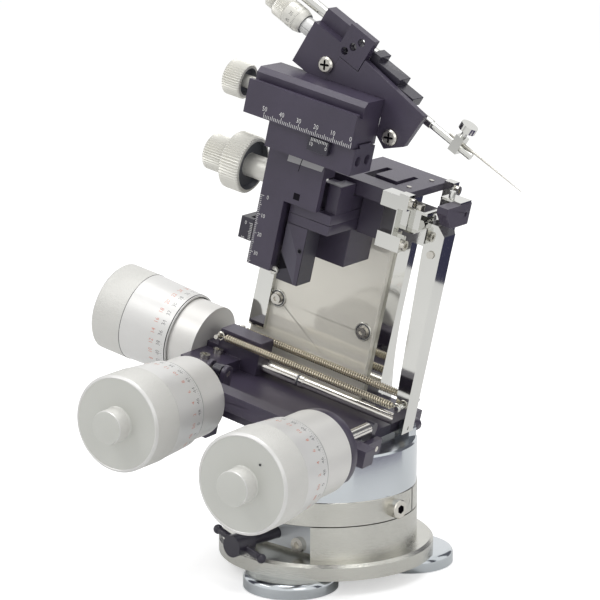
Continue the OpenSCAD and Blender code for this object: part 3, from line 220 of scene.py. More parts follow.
def reflection_card(name, angle, wide, low, high, shade, away=0.9):
    """An upright grey card that only mirrors see, standing at an angle round the object."""
    a, half = math.radians(angle), math.radians(wide / 2)
    corners = [(a - half, low), (a + half, low), (a + half, high), (a - half, high)]
    mesh = one_face(name, [(away * math.cos(t), away * math.sin(t), z) for t, z in corners])
    card = bpy.data.objects.new(name, mesh)
    mesh.materials.append(glow_finish(name, shade))
    scene.collection.objects.link(card)
    card.visible_camera = card.visible_diffuse = card.visible_shadow = False
    card.visible_transmission = False
    return card


CARDS = [(-165, 26, (0.05, 0.05, 0.07)), (8, 16, (0.05, 0.05, 0.07)),
         (70, 30, (0.14, 0.14, 0.16)), (150, 30, (0.10, 0.10, 0.12))]
CARD_LOW, CARD_HIGH = 0.02, 0.9
for i, (angle, wide, shade) in enumerate(CARDS):
    reflection_card(f"card_{i}", angle, wide, CARD_LOW, CARD_HIGH, shade)


def floor_mat(name, start, end, near, far, shade):
    """A flat dark sector on the floor that only mirrors see: upright chrome looks down at it."""
    steps = [math.radians(start + (end - start) * k / 12) for k in range(13)]
    rim = [(near, t) for t in steps] + [(far, t) for t in reversed(steps)]
    mesh = one_face(name, [(r * math.cos(t), r * math.sin(t), 0.0) for r, t in rim])
    mat = bpy.data.objects.new(name, mesh)
    mesh.materials.append(glow_finish(name, shade))
    scene.collection.objects.link(mat)
    mat.visible_camera = mat.visible_diffuse = mat.visible_shadow = mat.visible_transmission = False
    return mat


floor_mat("mat_right", 48, 72, 0.42, 1.2, (0.05, 0.05, 0.09))
floor_mat("mat_turret", -28, 44, 0.262, 0.36, (0.085, 0.07, 0.15))
print("floor and", len(CARDS), "cards ready")

# %% [markdown]
# Three square soft boxes light the object: a key from the front left, a weak fill
# from the right and one overhead. A large lamp close by gives the soft shade of a
# studio picture, where a small or distant one would draw hard shadows.

# %% Lamps


def soft_lamp(name, at, aim, size, power):
    """A square soft box that looks from one point to another."""
    data = bpy.data.lights.new(name, "AREA")
    data.shape = "SQUARE"
    data.size = size
    data.energy = power
    lamp = bpy.data.objects.new(name, data)
    lamp.location = at
    lamp.rotation_euler = (Vector(aim) - Vector(at)).to_track_quat("-Z", "Y").to_euler()
    scene.collection.objects.link(lamp)
    return lamp


LAMP_AIM = (0, 0, 0.12)
soft_lamp("key", (-0.75, -0.75, 1.15), LAMP_AIM, 0.6, 5.0)
soft_lamp("fill", (1.2, -0.9, 0.8), LAMP_AIM, 0.8, 2.0)
soft_lamp("top", (0.05, 0.0, 1.5), LAMP_AIM, 0.8, 9.0)

# %% [markdown]
# Every finish here is one Principled shader with a little unevenness in it: noise
# moves the colour and the roughness by a few per cent, and a fine bump gives the
# surface its grain. Blasted, brushed and turned metal differ only in how that noise
# is stretched, so one function makes them all.

# %% Finishes


def finish(name, colour, metallic, rough, spread=0.06, grain=900, bump=0.02,
           stretch=(1, 1, 1), rough_spread=0.06, specular=0.5, depth=0.0002):
    """A procedural metal or paint: colour and roughness wander, and a grain lifts the surface."""
    made = bpy.data.materials.new(name)
    made.use_nodes = True
    tree = made.node_tree
    shader = tree.nodes["Principled BSDF"]
    shader.inputs["Metallic"].default_value = metallic
    shader.inputs["Specular IOR Level"].default_value = specular
    place = node(tree, "ShaderNodeTexCoord")
    cloud = node(tree, "ShaderNodeTexNoise", Scale=38.0, Detail=5.0, Roughness=0.6)
    tree.links.new(place.outputs["Object"], cloud.inputs["Vector"])
    low = [c * (1 - spread) for c in colour]
    high = [min(1, c * (1 + spread)) for c in colour]
    tint = ramp(tree, [(0.3, low), (0.7, high)], cloud.outputs["Fac"])
    tree.links.new(tint, shader.inputs["Base Color"])
    level = node(tree, "ShaderNodeMapRange")
    level.inputs["To Min"].default_value = max(0.01, rough - rough_spread / 2)
    level.inputs["To Max"].default_value = rough + rough_spread / 2
    tree.links.new(cloud.outputs["Fac"], level.inputs["Value"])
    tree.links.new(level.outputs[0], shader.inputs["Roughness"])
    squeeze = node(tree, "ShaderNodeMapping")
    squeeze.inputs["Scale"].default_value = stretch
    tree.links.new(place.outputs["Object"], squeeze.inputs["Vector"])
    fine = node(tree, "ShaderNodeTexNoise", Scale=grain, Detail=3.0)
    tree.links.new(squeeze.outputs[0], fine.inputs["Vector"])
    lift = node(tree, "ShaderNodeBump", Strength=bump, Distance=depth)
    tree.links.new(fine.outputs["Fac"], lift.inputs["Height"])
    tree.links.new(lift.outputs[0], shader.inputs["Normal"])
    return made


BLACK = finish("black_anodise", (0.044, 0.035, 0.061), 0.0, 0.36, 0.16, 2600, 0.25, specular=0.62)
DARK = finish("dark_anodise", (0.022, 0.019, 0.032), 0.0, 0.30, 0.16, 2600, 0.2, specular=0.6)
# The polished plate is mostly matt cream: its colour is a painted reflection of the pale room.
MIRROR_PAINTED_REFLECTION = finish("polished_plate_painted_reflection", (0.86, 0.835, 0.75), 0.16, 0.08, 0.02, 300, 0.012, rough_spread=0.05)
PLATING = finish("soft_plating", (0.60, 0.635, 0.66), 1.0, 0.16, 0.02, 300, 0.02, rough_spread=0.06)
# The chrome's brightness is its own; its slight cream tint is a painted reflection.
CHROME_PAINTED_REFLECTION = finish("bright_chrome", (0.68, 0.68, 0.65), 1.0, 0.06, 0.02, 300, 0.012, rough_spread=0.05)
NICKEL = finish("turned_nickel", (0.59, 0.585, 0.54), 1.0, 0.26, 0.05, 260, 0.5, (1, 1, 22), 0.08)
SATIN = finish("satin_aluminium", (0.66, 0.66, 0.65), 0.35, 0.42, 0.02, 3200, 0.12)
CREAM = finish("knurled_aluminium", (0.70, 0.69, 0.64), 0.35, 0.36, 0.05, 2200, 0.15)
# The clamp bar is mostly matt: its bright bluish grey is a painted reflection.
BAR_PAINTED_REFLECTION = finish("bar_steel_painted_reflection", (0.62, 0.65, 0.68), 0.3, 0.25, 0.03, 1200, 0.06)
STEEL = finish("screw_steel", (0.62, 0.60, 0.55), 1.0, 0.24, 0.10, 1400, 0.15)
ROD = finish("ground_rod", (0.74, 0.72, 0.68), 1.0, 0.13, 0.06, 900, 0.12)
WIRE = finish("spring_wire", (0.62, 0.57, 0.46), 1.0, 0.24, 0.14, 1500, 0.1)
BRASS = finish("brass", (0.70, 0.52, 0.22), 1.0, 0.22, 0.08, 1500, 0.12)
WHITE = finish("white_filling", (0.86, 0.86, 0.84), 0.0, 0.55, 0.04, 2000, 0.05)
# Black for printed marks, and also for the two grooves of each drum: there it is painted shade.
INK_AND_PAINTED_SHADE = finish("black_filling_and_painted_shade", (0.03, 0.03, 0.035), 0.0, 0.5, 0.15, 2000, 0.05)
RED = finish("red_filling", (0.60, 0.12, 0.04), 0.0, 0.5, 0.08, 2000, 0.05)
# Near black for the inside of sockets, counterbores, slits and hollows: painted shade.
RECESS_PAINTED_SHADE = finish("recess_painted_shade", (0.006, 0.005, 0.008), 0.0, 0.6, 0.2, 2000, 0.05, specular=0.1)
print("finishes", len(bpy.data.materials))

# %% [markdown]
# Each solid of the frame gets its finish by name. The machined blocks and plates
# also get a fine bevel: a real edge is never perfectly sharp, and the thin light
# line along it is what tells the eye that a black block is metal.

# %% Dress the solids
# The polished plate, the chrome and the clamp bar carry painted reflection in their colours.
DRESS = [
    (MIRROR_PAINTED_REFLECTION, "mirror_plate"),
    (PLATING, "feet turret"),
    (CHROME_PAINTED_REFLECTION, "rear_frame side_strip x_lever leaf_clamps guide_rod holder clamp_thumbscrew"),
    (BAR_PAINTED_REFLECTION, "clamp_bar"),
    (NICKEL, "flange fixed_ring clamp_collar"),
    (STEEL, "bar_screws collar_screw block_screws plate_screws stage_screws bracket_screws "
            "electrode tilt_pins head_pins"),
    (WIRE, "spring_front spring_rear"),
    (SATIN, "drum_a drum_b drum_c sleeve_a sleeve_b sleeve_c mic_sleeve mic_thimble"),
    (BLACK, "head_plate drum_block cross_beam end_beam top_frame y_block z_bracket h_rail "
            "h_slide v_slide angle_bracket drive_body"),
    (DARK, "v_rail v_vernier h_vernier carriage lock_screw tommy_bar y_crank z_crank"),
    (BRASS, "brake_pad"),
    (ROD, "push_rod_a push_rod_b push_rod_c"),
    (CREAM, "coarse_wheel fine_knob h_knob"),
]
EDGED = ("head_plate drum_block cross_beam end_beam top_frame y_block z_bracket h_rail h_slide "
         "v_slide angle_bracket drive_body v_rail v_vernier h_vernier carriage mirror_plate "
         "rear_frame side_strip x_lever leaf_clamps clamp_bar").split()
EDGE_WIDTH = 0.3
WELD_GAP = 0.00001
BEVEL_FROM, CRISP_FROM = math.radians(40), math.radians(35)


def dress(name, material):
    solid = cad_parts[name]
    solid.data.materials.clear()
    solid.data.materials.append(material)
    return solid


def soften_edges(solid, width):
    """Welds the loose faces and rounds the sharp edges a little, without touching the mesh."""
    weld = solid.modifiers.new("weld", "WELD")
    weld.merge_threshold = WELD_GAP
    bevel = solid.modifiers.new("edge", "BEVEL")
    bevel.width = width * MM
    bevel.segments = 2
    bevel.limit_method = "ANGLE"
    bevel.angle_limit = BEVEL_FROM
    bevel.harden_normals = True


def round_off(solid):
    """Smooth shading for a turned solid: flat facets blend, and edges over 35 degrees stay crisp."""
    weld = solid.modifiers.new("weld", "WELD")
    weld.merge_threshold = WELD_GAP
    split = solid.modifiers.new("crisp", "EDGE_SPLIT")
    split.split_angle = CRISP_FROM
    split.use_edge_sharp = False
    solid.data.polygons.foreach_set("use_smooth", [True] * len(solid.data.polygons))


for material, names in DRESS:
    for name in names.split():
        dress(name, material)
for name in EDGED:
    soften_edges(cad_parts[name], EDGE_WIDTH)
for name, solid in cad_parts.items():
    if name not in EDGED:
        round_off(solid)
bare = [n for n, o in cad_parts.items() if not o.data.materials or o.data.materials[0] is None]
print("dressed", len(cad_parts) - len(bare), "bare", bare)

# %% [markdown]
# The head leans back by thirteen degrees on its turntable, and the electrode drive
# slopes by twenty degrees more on top of it. Working in those two leaning frames
# keeps every number a plain millimetre along the machine's own edges, and one
# matrix turns it into a place in the scene.

# %% The leaning frames
HEAD_LEAN, DRIVE_SLOPE = math.radians(13), math.radians(20)
HEAD = Matrix.Translation(Vector((36, 0, 73.2)) * MM) @ Matrix.Rotation(HEAD_LEAN, 4, "Y")
DRIVE_FOOT = Matrix.Translation(Vector((-60.3, 0, 189.9)) * MM)
DRIVE = HEAD @ DRIVE_FOOT @ Matrix.Rotation(DRIVE_SLOPE, 4, "Y")
ALONG_X = Matrix.Rotation(math.radians(90), 4, "Y")
ALONG_Y = Matrix.Rotation(math.radians(-90), 4, "X")
FRONT = Matrix.Rotation(math.radians(90), 4, "X")


def at(x, y, z):
    return Matrix.Translation(Vector((x, y, z)) * MM)


def keep(mesh, name, body, material, smooth=40):
    """Puts a finished mesh in the scene with its material, on the body that carries it."""
    piece = bpy.data.objects.new(name, mesh)
    mesh.materials.append(material)
    mesh.polygons.foreach_set("use_smooth", [True] * len(mesh.polygons))
    mesh.set_sharp_from_angle(angle=math.radians(smooth))
    scene.collection.objects.link(piece)
    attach(piece, body)
    return piece


LEANS = [round(math.degrees(m.to_euler().y), 1) for m in (HEAD, DRIVE)]
print("head and drive lean", LEANS)

# %% [markdown]
# Engraved marks are shallow cuts filled with paint. Cutting hundreds of them into
# the solids would make heavy meshes, so each scale is drawn as flat shapes in
# millimetres and laid a few hundredths of a millimetre above its face. The same
# drawing can be laid on a flat plate or wrapped round a drum: only the function
# that places a point differs. The digits come from Blender's own built-in font.

# %% Drawing marks
GLYPHS = {}


def glyph(text):
    """The faces of a text, one unit high and centred on the origin, as lists of 2-D points."""
    if text not in GLYPHS:
        curve = bpy.data.curves.new("glyph", "FONT")
        curve.body, curve.resolution_u, curve.offset = text, 2, -0.012
        holder = bpy.data.objects.new("glyph", curve)
        scene.collection.objects.link(holder)
        bpy.context.view_layer.update()
        graph = bpy.context.evaluated_depsgraph_get()
        flat = bpy.data.meshes.new_from_object(holder.evaluated_get(graph))
        spots = [v.co.xy.copy() for v in flat.vertices]
        low = Vector((min(s.x for s in spots), min(s.y for s in spots)))
        high = Vector((max(s.x for s in spots), max(s.y for s in spots)))
        tall = high.y - low.y
        GLYPHS[text] = [[(spots[i] - (low + high) / 2) / tall for i in face.vertices]
                        for face in flat.polygons]
        bpy.data.objects.remove(holder)
        bpy.data.meshes.remove(flat)
        bpy.data.curves.remove(curve)
    return GLYPHS[text]


def numeral(text, height, a, b, turn=0, narrow=0.85):
    """A number of that height in millimetres, centred on (a, b) and turned by degrees."""
    c, s = math.cos(math.radians(turn)), math.sin(math.radians(turn))
    return [[(a + height * (p.x * narrow * c - p.y * s), b + height * (p.x * narrow * s + p.y * c))
             for p in face] for face in glyph(text)]


def tick(a, b, long, wide, turn=0):
    """A thin stroke that starts at (a, b) and runs along b, or along a where turn is 90."""
    half = wide / 2
    if turn:
        return [[(a, b - half), (a + long, b - half), (a + long, b + half), (a, b + half)]]
    return [[(a - half, b), (a + half, b), (a + half, b + long), (a - half, b + long)]]


def flat_face(where, origin, right, up):
    """Lays a drawing on a plane: origin, right and up are in the millimetres of the frame where."""
    o, r, u = Vector(origin), Vector(right), Vector(up)
    return lambda a, b: where @ ((o + r * a + u * b) * MM)


def front_face(depth):
    """The upright plane that lies this far in front of the head's axis."""
    return flat_face(HEAD, (0, -depth, 0), (1, 0, 0), (0, 0, 1))


def barrel_face(where, radius, start):
    """Wraps a drawing round a barrel whose axis is Z of the frame where: a goes round, b goes along."""
    def place(a, b):
        turn = start + a / radius
        return where @ (Vector((radius * math.cos(turn), radius * math.sin(turn), b)) * MM)
    return place


def print_marks(name, body, material, place, shapes):
    """Builds the drawn shapes as one mesh that rides on a body."""
    mesh = bpy.data.meshes.new(name)
    points, faces = [], []
    for shape in shapes:
        faces.append(list(range(len(points), len(points) + len(shape))))
        points += [place(a, b) for a, b in shape]
    mesh.from_pydata(points, [], faces)
    return keep(mesh, name, body, material)


print("digit faces", sum(len(glyph(t)) for t in ("0", "10", "20")))

# %% [markdown]
# The two coarse slides carry white scales: the level one reads 50 to 0 from left to
# right along its lower edge, the upright one 0 to 36 down its left edge. Every
# fifth stroke is longer. Two small plates stand beside them and give tenths: their
# ten divisions take up nine millimetres.

# %% Scales of the coarse slides
LINE = 0.21
SCALE_LIFT = 0.04
LEVEL_FACE, UPRIGHT_FACE = 50, 38
LEVEL_STEP, TENTH = 1.0156, 0.9
level = []
for i in range(51):
    long = 3.0 if i % 10 == 0 else 2.5 if i % 5 == 0 else 1.7
    level += tick(-80.3 + i * LEVEL_STEP, 153.6, long, LINE)
for i, reading in enumerate((50, 40, 30, 20, 10, 0)):
    level += numeral(str(reading), 2.3, -80.4 + i * 10.03, 158.2)
print_marks("level_scale", "horizontal_slide", WHITE, front_face(LEVEL_FACE + SCALE_LIFT), level)
upright = []
for i in range(37):
    long = 2.2 if i % 10 == 0 else 1.8 if i % 5 == 0 else 1.2
    upright += tick(-80.1, 111.9 - i, long, LINE, 90)
for reading in (0, 10, 20, 30):
    upright += numeral(str(reading), 2.0, -76.1 if reading else -75.6, 111.7 - reading)
print_marks("upright_scale", "vertical_slide", WHITE, front_face(UPRIGHT_FACE + SCALE_LIFT), upright)
tenths = []
for i in range(11):
    tenths += tick(-51.4 + i * TENTH, 152.5, -(2.0 if i % 5 == 0 else 1.5), LINE)
tenths += numeral("10", 1.8, -51.0, 149.3) + numeral("0", 1.8, -42.6, 149.3)
print_marks("level_tenths", "vertical_slide", WHITE, front_face(LEVEL_FACE + SCALE_LIFT), tenths)
side_tenths = []
for i in range(11):
    side_tenths += tick(-80.9, 95.6 - i * TENTH, -(2.2 if i % 5 == 0 else 1.6), LINE, 90)
side_tenths += numeral("0", 1.8, -85.2, 95.3) + numeral("10", 1.8, -85.4, 87.0)
print_marks("side_tenths", "stage_z", WHITE, front_face(UPRIGHT_FACE + SCALE_LIFT), side_tenths)
print("strokes", 51 + 37 + 22)

# %% [markdown]
# Every round piece of this machine came off a lathe. A profile, which is a list of
# places along the axis with a radius each, is spun round the axis in code, and each
# stretch of the profile may name its own finish. A straight knurl is the same
# profile with its radius going in and out in even teeth.

# %% Turned pieces


def outline(radius, turn, i, kind, depth):
    """The radius at this turn: 0 is round, 1 knurled, 2 a hexagon, 3 a cross and 4 a slot."""
    if kind == 1:
        return radius - depth * (0.0, 0.55, 1.0, 0.55)[i % 4]
    if kind == 2:
        return radius * math.cos(math.pi / 6) / math.cos(turn % (math.pi / 3) - math.pi / 6)
    if kind in (3, 4):
        arms = math.pi / 2 if kind == 3 else math.pi
        off_axis = abs(math.sin((turn + arms / 2) % arms - arms / 2))
        return min(radius, 0.22 * radius / max(0.001, off_axis))
    return radius


def spin(name, body, where, profile, finishes, steps=128, teeth=0, depth=0.0, smooth=30, capped=True):
    """Spins (z, radius, finish number, knurled) points round Z of the frame where, in millimetres."""
    if teeth:
        steps = teeth * 4
    mesh = bpy.data.meshes.new(name)
    points, faces, marks = [], [], []
    for z, radius, _, kind in profile:
        for i in range(steps):
            turn = 2 * math.pi * i / steps
            r = outline(radius, turn, i, kind, depth)
            points.append(where @ (Vector((r * math.cos(turn), r * math.sin(turn), z)) * MM))
    for k in range(len(profile) - 1):
        for i in range(steps):
            j = (i + 1) % steps
            faces.append((k * steps + i, k * steps + j, (k + 1) * steps + j, (k + 1) * steps + i))
            marks.append(profile[k][2])
    for k, flip in ((0, True), (len(profile) - 1, False)):
        if profile[k][1] > 0 and capped:
            ring = [k * steps + i for i in range(steps)]
            faces.append(tuple(reversed(ring)) if flip else tuple(ring))
            marks.append(profile[min(k, len(profile) - 2)][2])
    mesh.from_pydata(points, [], faces)
    mesh.update()
    piece = keep(mesh, name, body, finishes[0], smooth)
    for extra in finishes[1:]:
        mesh.materials.append(extra)
    mesh.polygons.foreach_set("material_index", marks)
    return piece


print("one drum profile takes", 14 * 128, "faces")

# %% [markdown]
# A drum head is one turned aluminium shell: a flat face with a bright chamfer, a
# finely knurled grip, and a smooth tapered skirt that carries the numbers. The face
# is coloured darker than the skirt, which is painted shade, as the face turns away
# from the light overhead; the chamfer keeps the skirt's lighter colour, so it shows
# bright against it. The grip of the real drum is so fine that it only shows as a
# duller surface, so it gets a stronger grain rather than thousands of teeth. Black
# numbers count one way round the skirt's edge, and red ones beside them count the
# other way.

# %% Finishes of the drum heads
# The face colour is darker than the skirt's: painted shade on the drum's face.
FACE_PAINTED_SHADE = finish("drum_face_painted_shade", (0.57, 0.575, 0.54), 0.25, 0.44, 0.015, 3000, 0.10, specular=0.45)
GRIP = finish("drum_grip", (0.655, 0.65, 0.62), 0.22, 0.52, 0.03, 1500, 0.9,
              rough_spread=0.1, depth=0.0003)
SKIRT = finish("drum_skirt", (0.70, 0.695, 0.68), 0.28, 0.36, 0.015, 3200, 0.06)
SLEEVE = finish("drum_sleeve", (0.70, 0.69, 0.665), 0.30, 0.38, 0.015, 3200, 0.08)
for key in "abc":
    dress("sleeve_" + key, SLEEVE)
print("drum finishes", [m.name for m in (FACE_PAINTED_SHADE, GRIP, SKIRT, SLEEVE)])

# %% [markdown]
# The profile below runs from the face of the finger knob to the inside of the
# skirt. Booleans between cylinders could make the same form, but one spun profile
# gives each small groove for a single pair of numbers. The marks follow the taper
# of the skirt, so they lie on it all the way round and turn with the drum.

# %% Drum heads
HEADS = {"a": (HEAD @ at(-181, 8, 7) @ ALONG_X, 49.0),
         "b": (HEAD @ at(-85, -123.5, 4) @ ALONG_Y, 43.0),
         "c": (HEAD @ at(5, -151, 15) @ ALONG_Y, 40.0)}
DRUM_R, SKIRT_R, BORE_R, FINGER_R = 24.5, 22.95, 21.9, 8.5
TAPER_R, TAPER_FROM, PAINT_LIFT = 24.3, 20.6, 0.07
NUMBERS, STROKE = 25, 0.14


# Finish 3 paints the groove behind the grip and the groove by the skirt's edge black: painted shade in
# the grooves.
def drum_profile(skirt_end):
    """The outside of one drum from the finger knob's face to the skirt's far edge."""
    return [(-9.0, 0.0, 0, 0), (-9.0, FINGER_R - 0.9, 0, 0), (-8.75, FINGER_R - 0.3, 2, 0),
            (-8.2, FINGER_R, 1, 0), (-0.7, FINGER_R, 1, 0), (-0.35, FINGER_R + 0.15, 0, 0),
            (0.0, FINGER_R + 0.6, 0, 0),
            (0.0, DRUM_R - 1.7, 2, 0), (-0.25, DRUM_R - 1.45, 2, 0), (-0.25, DRUM_R - 1.15, 2, 0),
            (0.85, DRUM_R - 0.08, 1, 0), (1.05, DRUM_R, 1, 0), (18.9, DRUM_R, 3, 0),
            (19.15, DRUM_R - 0.16, 2, 0), (19.5, DRUM_R - 0.2, 2, 0),
            (skirt_end - 1.1, SKIRT_R + 0.08, 3, 0), (skirt_end - 1.0, SKIRT_R - 0.25, 3, 0),
            (skirt_end - 0.6, SKIRT_R - 0.25, 2, 0), (skirt_end - 0.5, SKIRT_R + 0.03, 2, 0),
            (skirt_end - 0.15, SKIRT_R, 2, 0), (skirt_end, SKIRT_R - 0.2, 2, 0),
            (skirt_end, BORE_R, 2, 0), (14.0, BORE_R, 2, 0)]


def skirt_face(where, skirt_end):
    """Wraps a drawing round the tapered skirt of one drum."""
    def place(a, b):
        widen = (skirt_end - 1.1 - b) / (skirt_end - TAPER_FROM)
        radius = SKIRT_R + (TAPER_R - SKIRT_R) * widen + PAINT_LIFT
        turn = a / SKIRT_R
        return where @ (Vector((radius * math.cos(turn), radius * math.sin(turn), b)) * MM)
    return place


for key, (where, skirt_end) in HEADS.items():
    drum = spin("drum_" + key + "_shell", "drum_head_" + key, where, drum_profile(skirt_end),
                [FACE_PAINTED_SHADE, GRIP, SKIRT, INK_AND_PAINTED_SHADE])
    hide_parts("drum_" + key)
    black, red = [], []
    for i in range(NUMBERS):
        round_at = i * 2 * math.pi * SKIRT_R / NUMBERS
        black += numeral(str(2 * i), 2.4, round_at, skirt_end - 4.9, 180)
        red += numeral(str(50 - 2 * i), 2.4, round_at, skirt_end - 9.6, 180)
        for k in range(5):
            stroke_at = round_at + k * 2 * math.pi * SKIRT_R / (NUMBERS * 5)
            black += tick(stroke_at, skirt_end - 1.3, -(2.1 if k == 0 else 1.4), STROKE)
    for word, paint, shapes in (("black", INK_AND_PAINTED_SHADE, black), ("red", RED, red)):
        print_marks("drum_" + key + "_" + word + "_scale", "drum_head_" + key, paint,
                    skirt_face(where, skirt_end), shapes)
spin("face_dot", "drum_head_c", HEAD @ at(12.4, -151.3, 27.9) @ FRONT,
     [(0.0, 0.6, 0, 0), (0.06, 0.6, 0, 0), (0.06, 0.0, 0, 0)], [INK_AND_PAINTED_SHADE], steps=16)
print("drums", list(HEADS), "marks on each", NUMBERS * 2 + NUMBERS * 5)

# %% [markdown]
# The hand knobs have a straight knurl: even teeth cut along the rim, a small bevel
# at each end, and a hollow back around the hub. Sixty teeth on a thirty millimetre
# wheel give the real spacing. They are spun like the drums, only with teeth.

# %% Knurled knobs
# A dark finish for hollows, grooves and inner steps of turned pieces: painted shade.
PAINTED_SHADE = finish("hollow_painted_shade", (0.10, 0.105, 0.12), 0.2, 0.4, 0.1, 2400, 0.1)


def knob(name, body, node_name, start, radius, thick, hub_r, hub_end, teeth, hollow):
    """A knurled wheel from its outer face along X; hollow is the depth of the dish in its back."""
    rim = radius - 0.9
    floor = thick - hollow
    profile = [(0.0, 0.0, 0, 0), (0.0, rim - 1.2, 0, 0), (0.25, rim - 0.7, 0, 0), (0.3, rim, 0, 0),
               (0.9, radius, 0, 1), (thick - 0.9, radius, 0, 1), (thick - 0.2, rim, 0, 0),
               (thick, rim - 0.5, 0, 0)]
    if hollow:
        # The dish in the back takes the dark second finish: painted shade.
        profile += [(thick, rim - 1.3, 1, 0), (floor, rim - 2.4, 1, 0), (floor, hub_r + 0.05, 0, 0)]
    profile += [(floor, hub_r, 0, 0), (hub_end - 0.6, hub_r, 0, 0), (hub_end, hub_r - 0.6, 0, 0),
                (hub_end, 0.0, 0, 0)]
    made = spin(name, body, HEAD @ at(*start) @ ALONG_X, profile, [CREAM, PAINTED_SHADE],
                teeth=teeth, depth=0.75)
    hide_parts(node_name)
    return made


knob("coarse_hand_wheel", "coarse_knob", "coarse_wheel", (-104.6, -29, 121.9),
     radius=15.0, thick=12.0, hub_r=6.0, hub_end=24.0, teeth=60, hollow=2.6)
knob("small_hand_knob", "small_knob", "fine_knob", (-118.6, -29, 121.9),
     radius=9.5, thick=12.0, hub_r=4.4, hub_end=13.9, teeth=44, hollow=0)
knob("level_hand_knob", "slide_knob", "h_knob", (-112.3, -35, 164.225),
     radius=9.2, thick=11.0, hub_r=3.4, hub_end=19.9, teeth=44, hollow=2.2)
print("knobs", 3, "teeth", 60, 44, 44)

# %% [markdown]
# The small screw drive is turned by a thimble with a scale round its skirt and a
# knurled grip at its end. The sleeve under it carries short strokes along a line.

# %% Screw drive thimble
THIMBLE = DRIVE @ at(-44, -18.5, -1.5) @ ALONG_X
THIMBLE_R = 6.5
# The groove behind the grip and the open end take the dark finish: painted shade.
thimble = spin("drive_thimble", "feed_thimble", THIMBLE,
               [(-6.0, 0.0, 0, 0), (-6.0, 4.2, 0, 0), (-5.6, 4.7, 0, 0), (-5.2, 5.0, 0, 1),
                (-0.8, 5.0, 0, 1), (-0.4, 4.5, 1, 0), (0.0, 4.5, 1, 0), (0.0, 5.9, 0, 0),
                (0.5, 6.45, 0, 1), (6.5, 6.45, 0, 1), (6.8, 6.1, 0, 0), (7.2, 6.1, 0, 0),
                (7.4, THIMBLE_R, 0, 0), (14.6, THIMBLE_R, 0, 0), (17.6, 5.6, 0, 0),
                (18.0, 5.3, 1, 0), (18.0, 4.6, 1, 0), (14.0, 4.6, 1, 0)],
               [CREAM, PAINTED_SHADE], teeth=48, depth=0.5)
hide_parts("mic_thimble")
skirt = []
for i in range(10):
    around = i * 2 * math.pi * THIMBLE_R / 10
    skirt += numeral(str(i * 5), 1.9, around, 11.0, 90)
    for k in range(5):
        stroke_at = around + k * 2 * math.pi * THIMBLE_R / 50
        skirt += tick(stroke_at, 14.5, -(1.6 if k == 0 else 1.0), STROKE)
print_marks("thimble_scale", "feed_thimble", INK_AND_PAINTED_SHADE, barrel_face(THIMBLE, 6.54, 0), skirt)
line = []
for i in range(13):
    line += tick(0.0 if i % 2 else -1.4, 19.0 + i * 0.9, 1.4, STROKE, 90)
line += tick(0.0, 18.6, 11.6, STROKE)
print_marks("sleeve_scale", "horizontal_slide", INK_AND_PAINTED_SHADE, barrel_face(THIMBLE, 4.53, -math.pi / 2), line)
print("thimble strokes", 50, "sleeve strokes", 13)

# %% [markdown]
# Two closed-coil springs hold the lever against its screw. A tension spring at rest
# has its turns side by side, with a straight hook at each end. The coil is a tube
# swept along a helix between the head and the lever.

# %% Tension springs
SPRING_Z = 17.6
SPRINGS = {"front": -1.6, "rear": 17.6}


def coil_spring(name, y, radius=1.72, wire=0.47, pitch=1.40, sides=6, steps=14):
    """A closely wound spring along X of the head, with its ends run in to the axis."""
    x0, x1, z = -106.8, 2.1, SPRING_Z
    hook = 1.7
    coiled = x1 - x0 - 2 * hook
    turns = int(coiled / pitch)
    path = [Vector((x0, 0, 0)), Vector((x0 + 0.9, 0, 0))]
    for i in range(turns * steps + 1):
        swell = min(1.0, i / steps, (turns * steps - i) / steps)
        turn = 2 * math.pi * i / steps
        path.append(Vector((x0 + hook + coiled * i / (turns * steps),
                            radius * swell * math.cos(turn), radius * swell * math.sin(turn))))
    path += [Vector((x1 - 0.9, 0, 0)), Vector((x1, 0, 0))]
    points, faces = [], []
    for i, here in enumerate(path):
        along = (path[min(i + 1, len(path) - 1)] - path[max(i - 1, 0)]).normalized()
        turn = 2 * math.pi * (min(max(i, 2), len(path) - 3) - 2) / steps
        side = along.cross(Vector((0, math.cos(turn), math.sin(turn)))).normalized()
        out = side.cross(along)
        for k in range(sides):
            a = 2 * math.pi * k / sides
            rim = wire * (math.cos(a) * out + math.sin(a) * side)
            points.append(HEAD @ ((here + Vector((0, y, z)) + rim) * MM))
    for i in range(len(path) - 1):
        for k in range(sides):
            j = (k + 1) % sides
            faces.append((i * sides + k, (i + 1) * sides + k, (i + 1) * sides + j, i * sides + j))
    faces += [tuple(range(sides)), tuple(reversed(range(len(points) - sides, len(points))))]
    mesh = bpy.data.meshes.new(name)
    mesh.from_pydata(points, [], faces)
    mesh.materials.append(WIRE)
    mesh.polygons.foreach_set("use_smooth", [True] * len(faces))
    spring = bpy.data.objects.new(name, mesh)
    scene.collection.objects.link(spring)
    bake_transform(spring)
    return spring, turns


for name, y in (("spring_front", SPRINGS["front"]), ("spring_rear", SPRINGS["rear"])):
    spring, turns = coil_spring(name + "_coil", y)
    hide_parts(name)
print("springs", len(SPRINGS), "turns", turns)

# %% [markdown]
# Bevelled blocks and screws are the small change of a machine. A block is one cube
# scaled in bmesh with all its edges bevelled, so that each edge catches a thin line
# of light. A screw is spun as well: where the profile enters the socket, the radius
# follows a hexagon, a slot or a cross instead of a circle, and the socket is
# coloured near black as painted shade.

# %% Blocks and screws


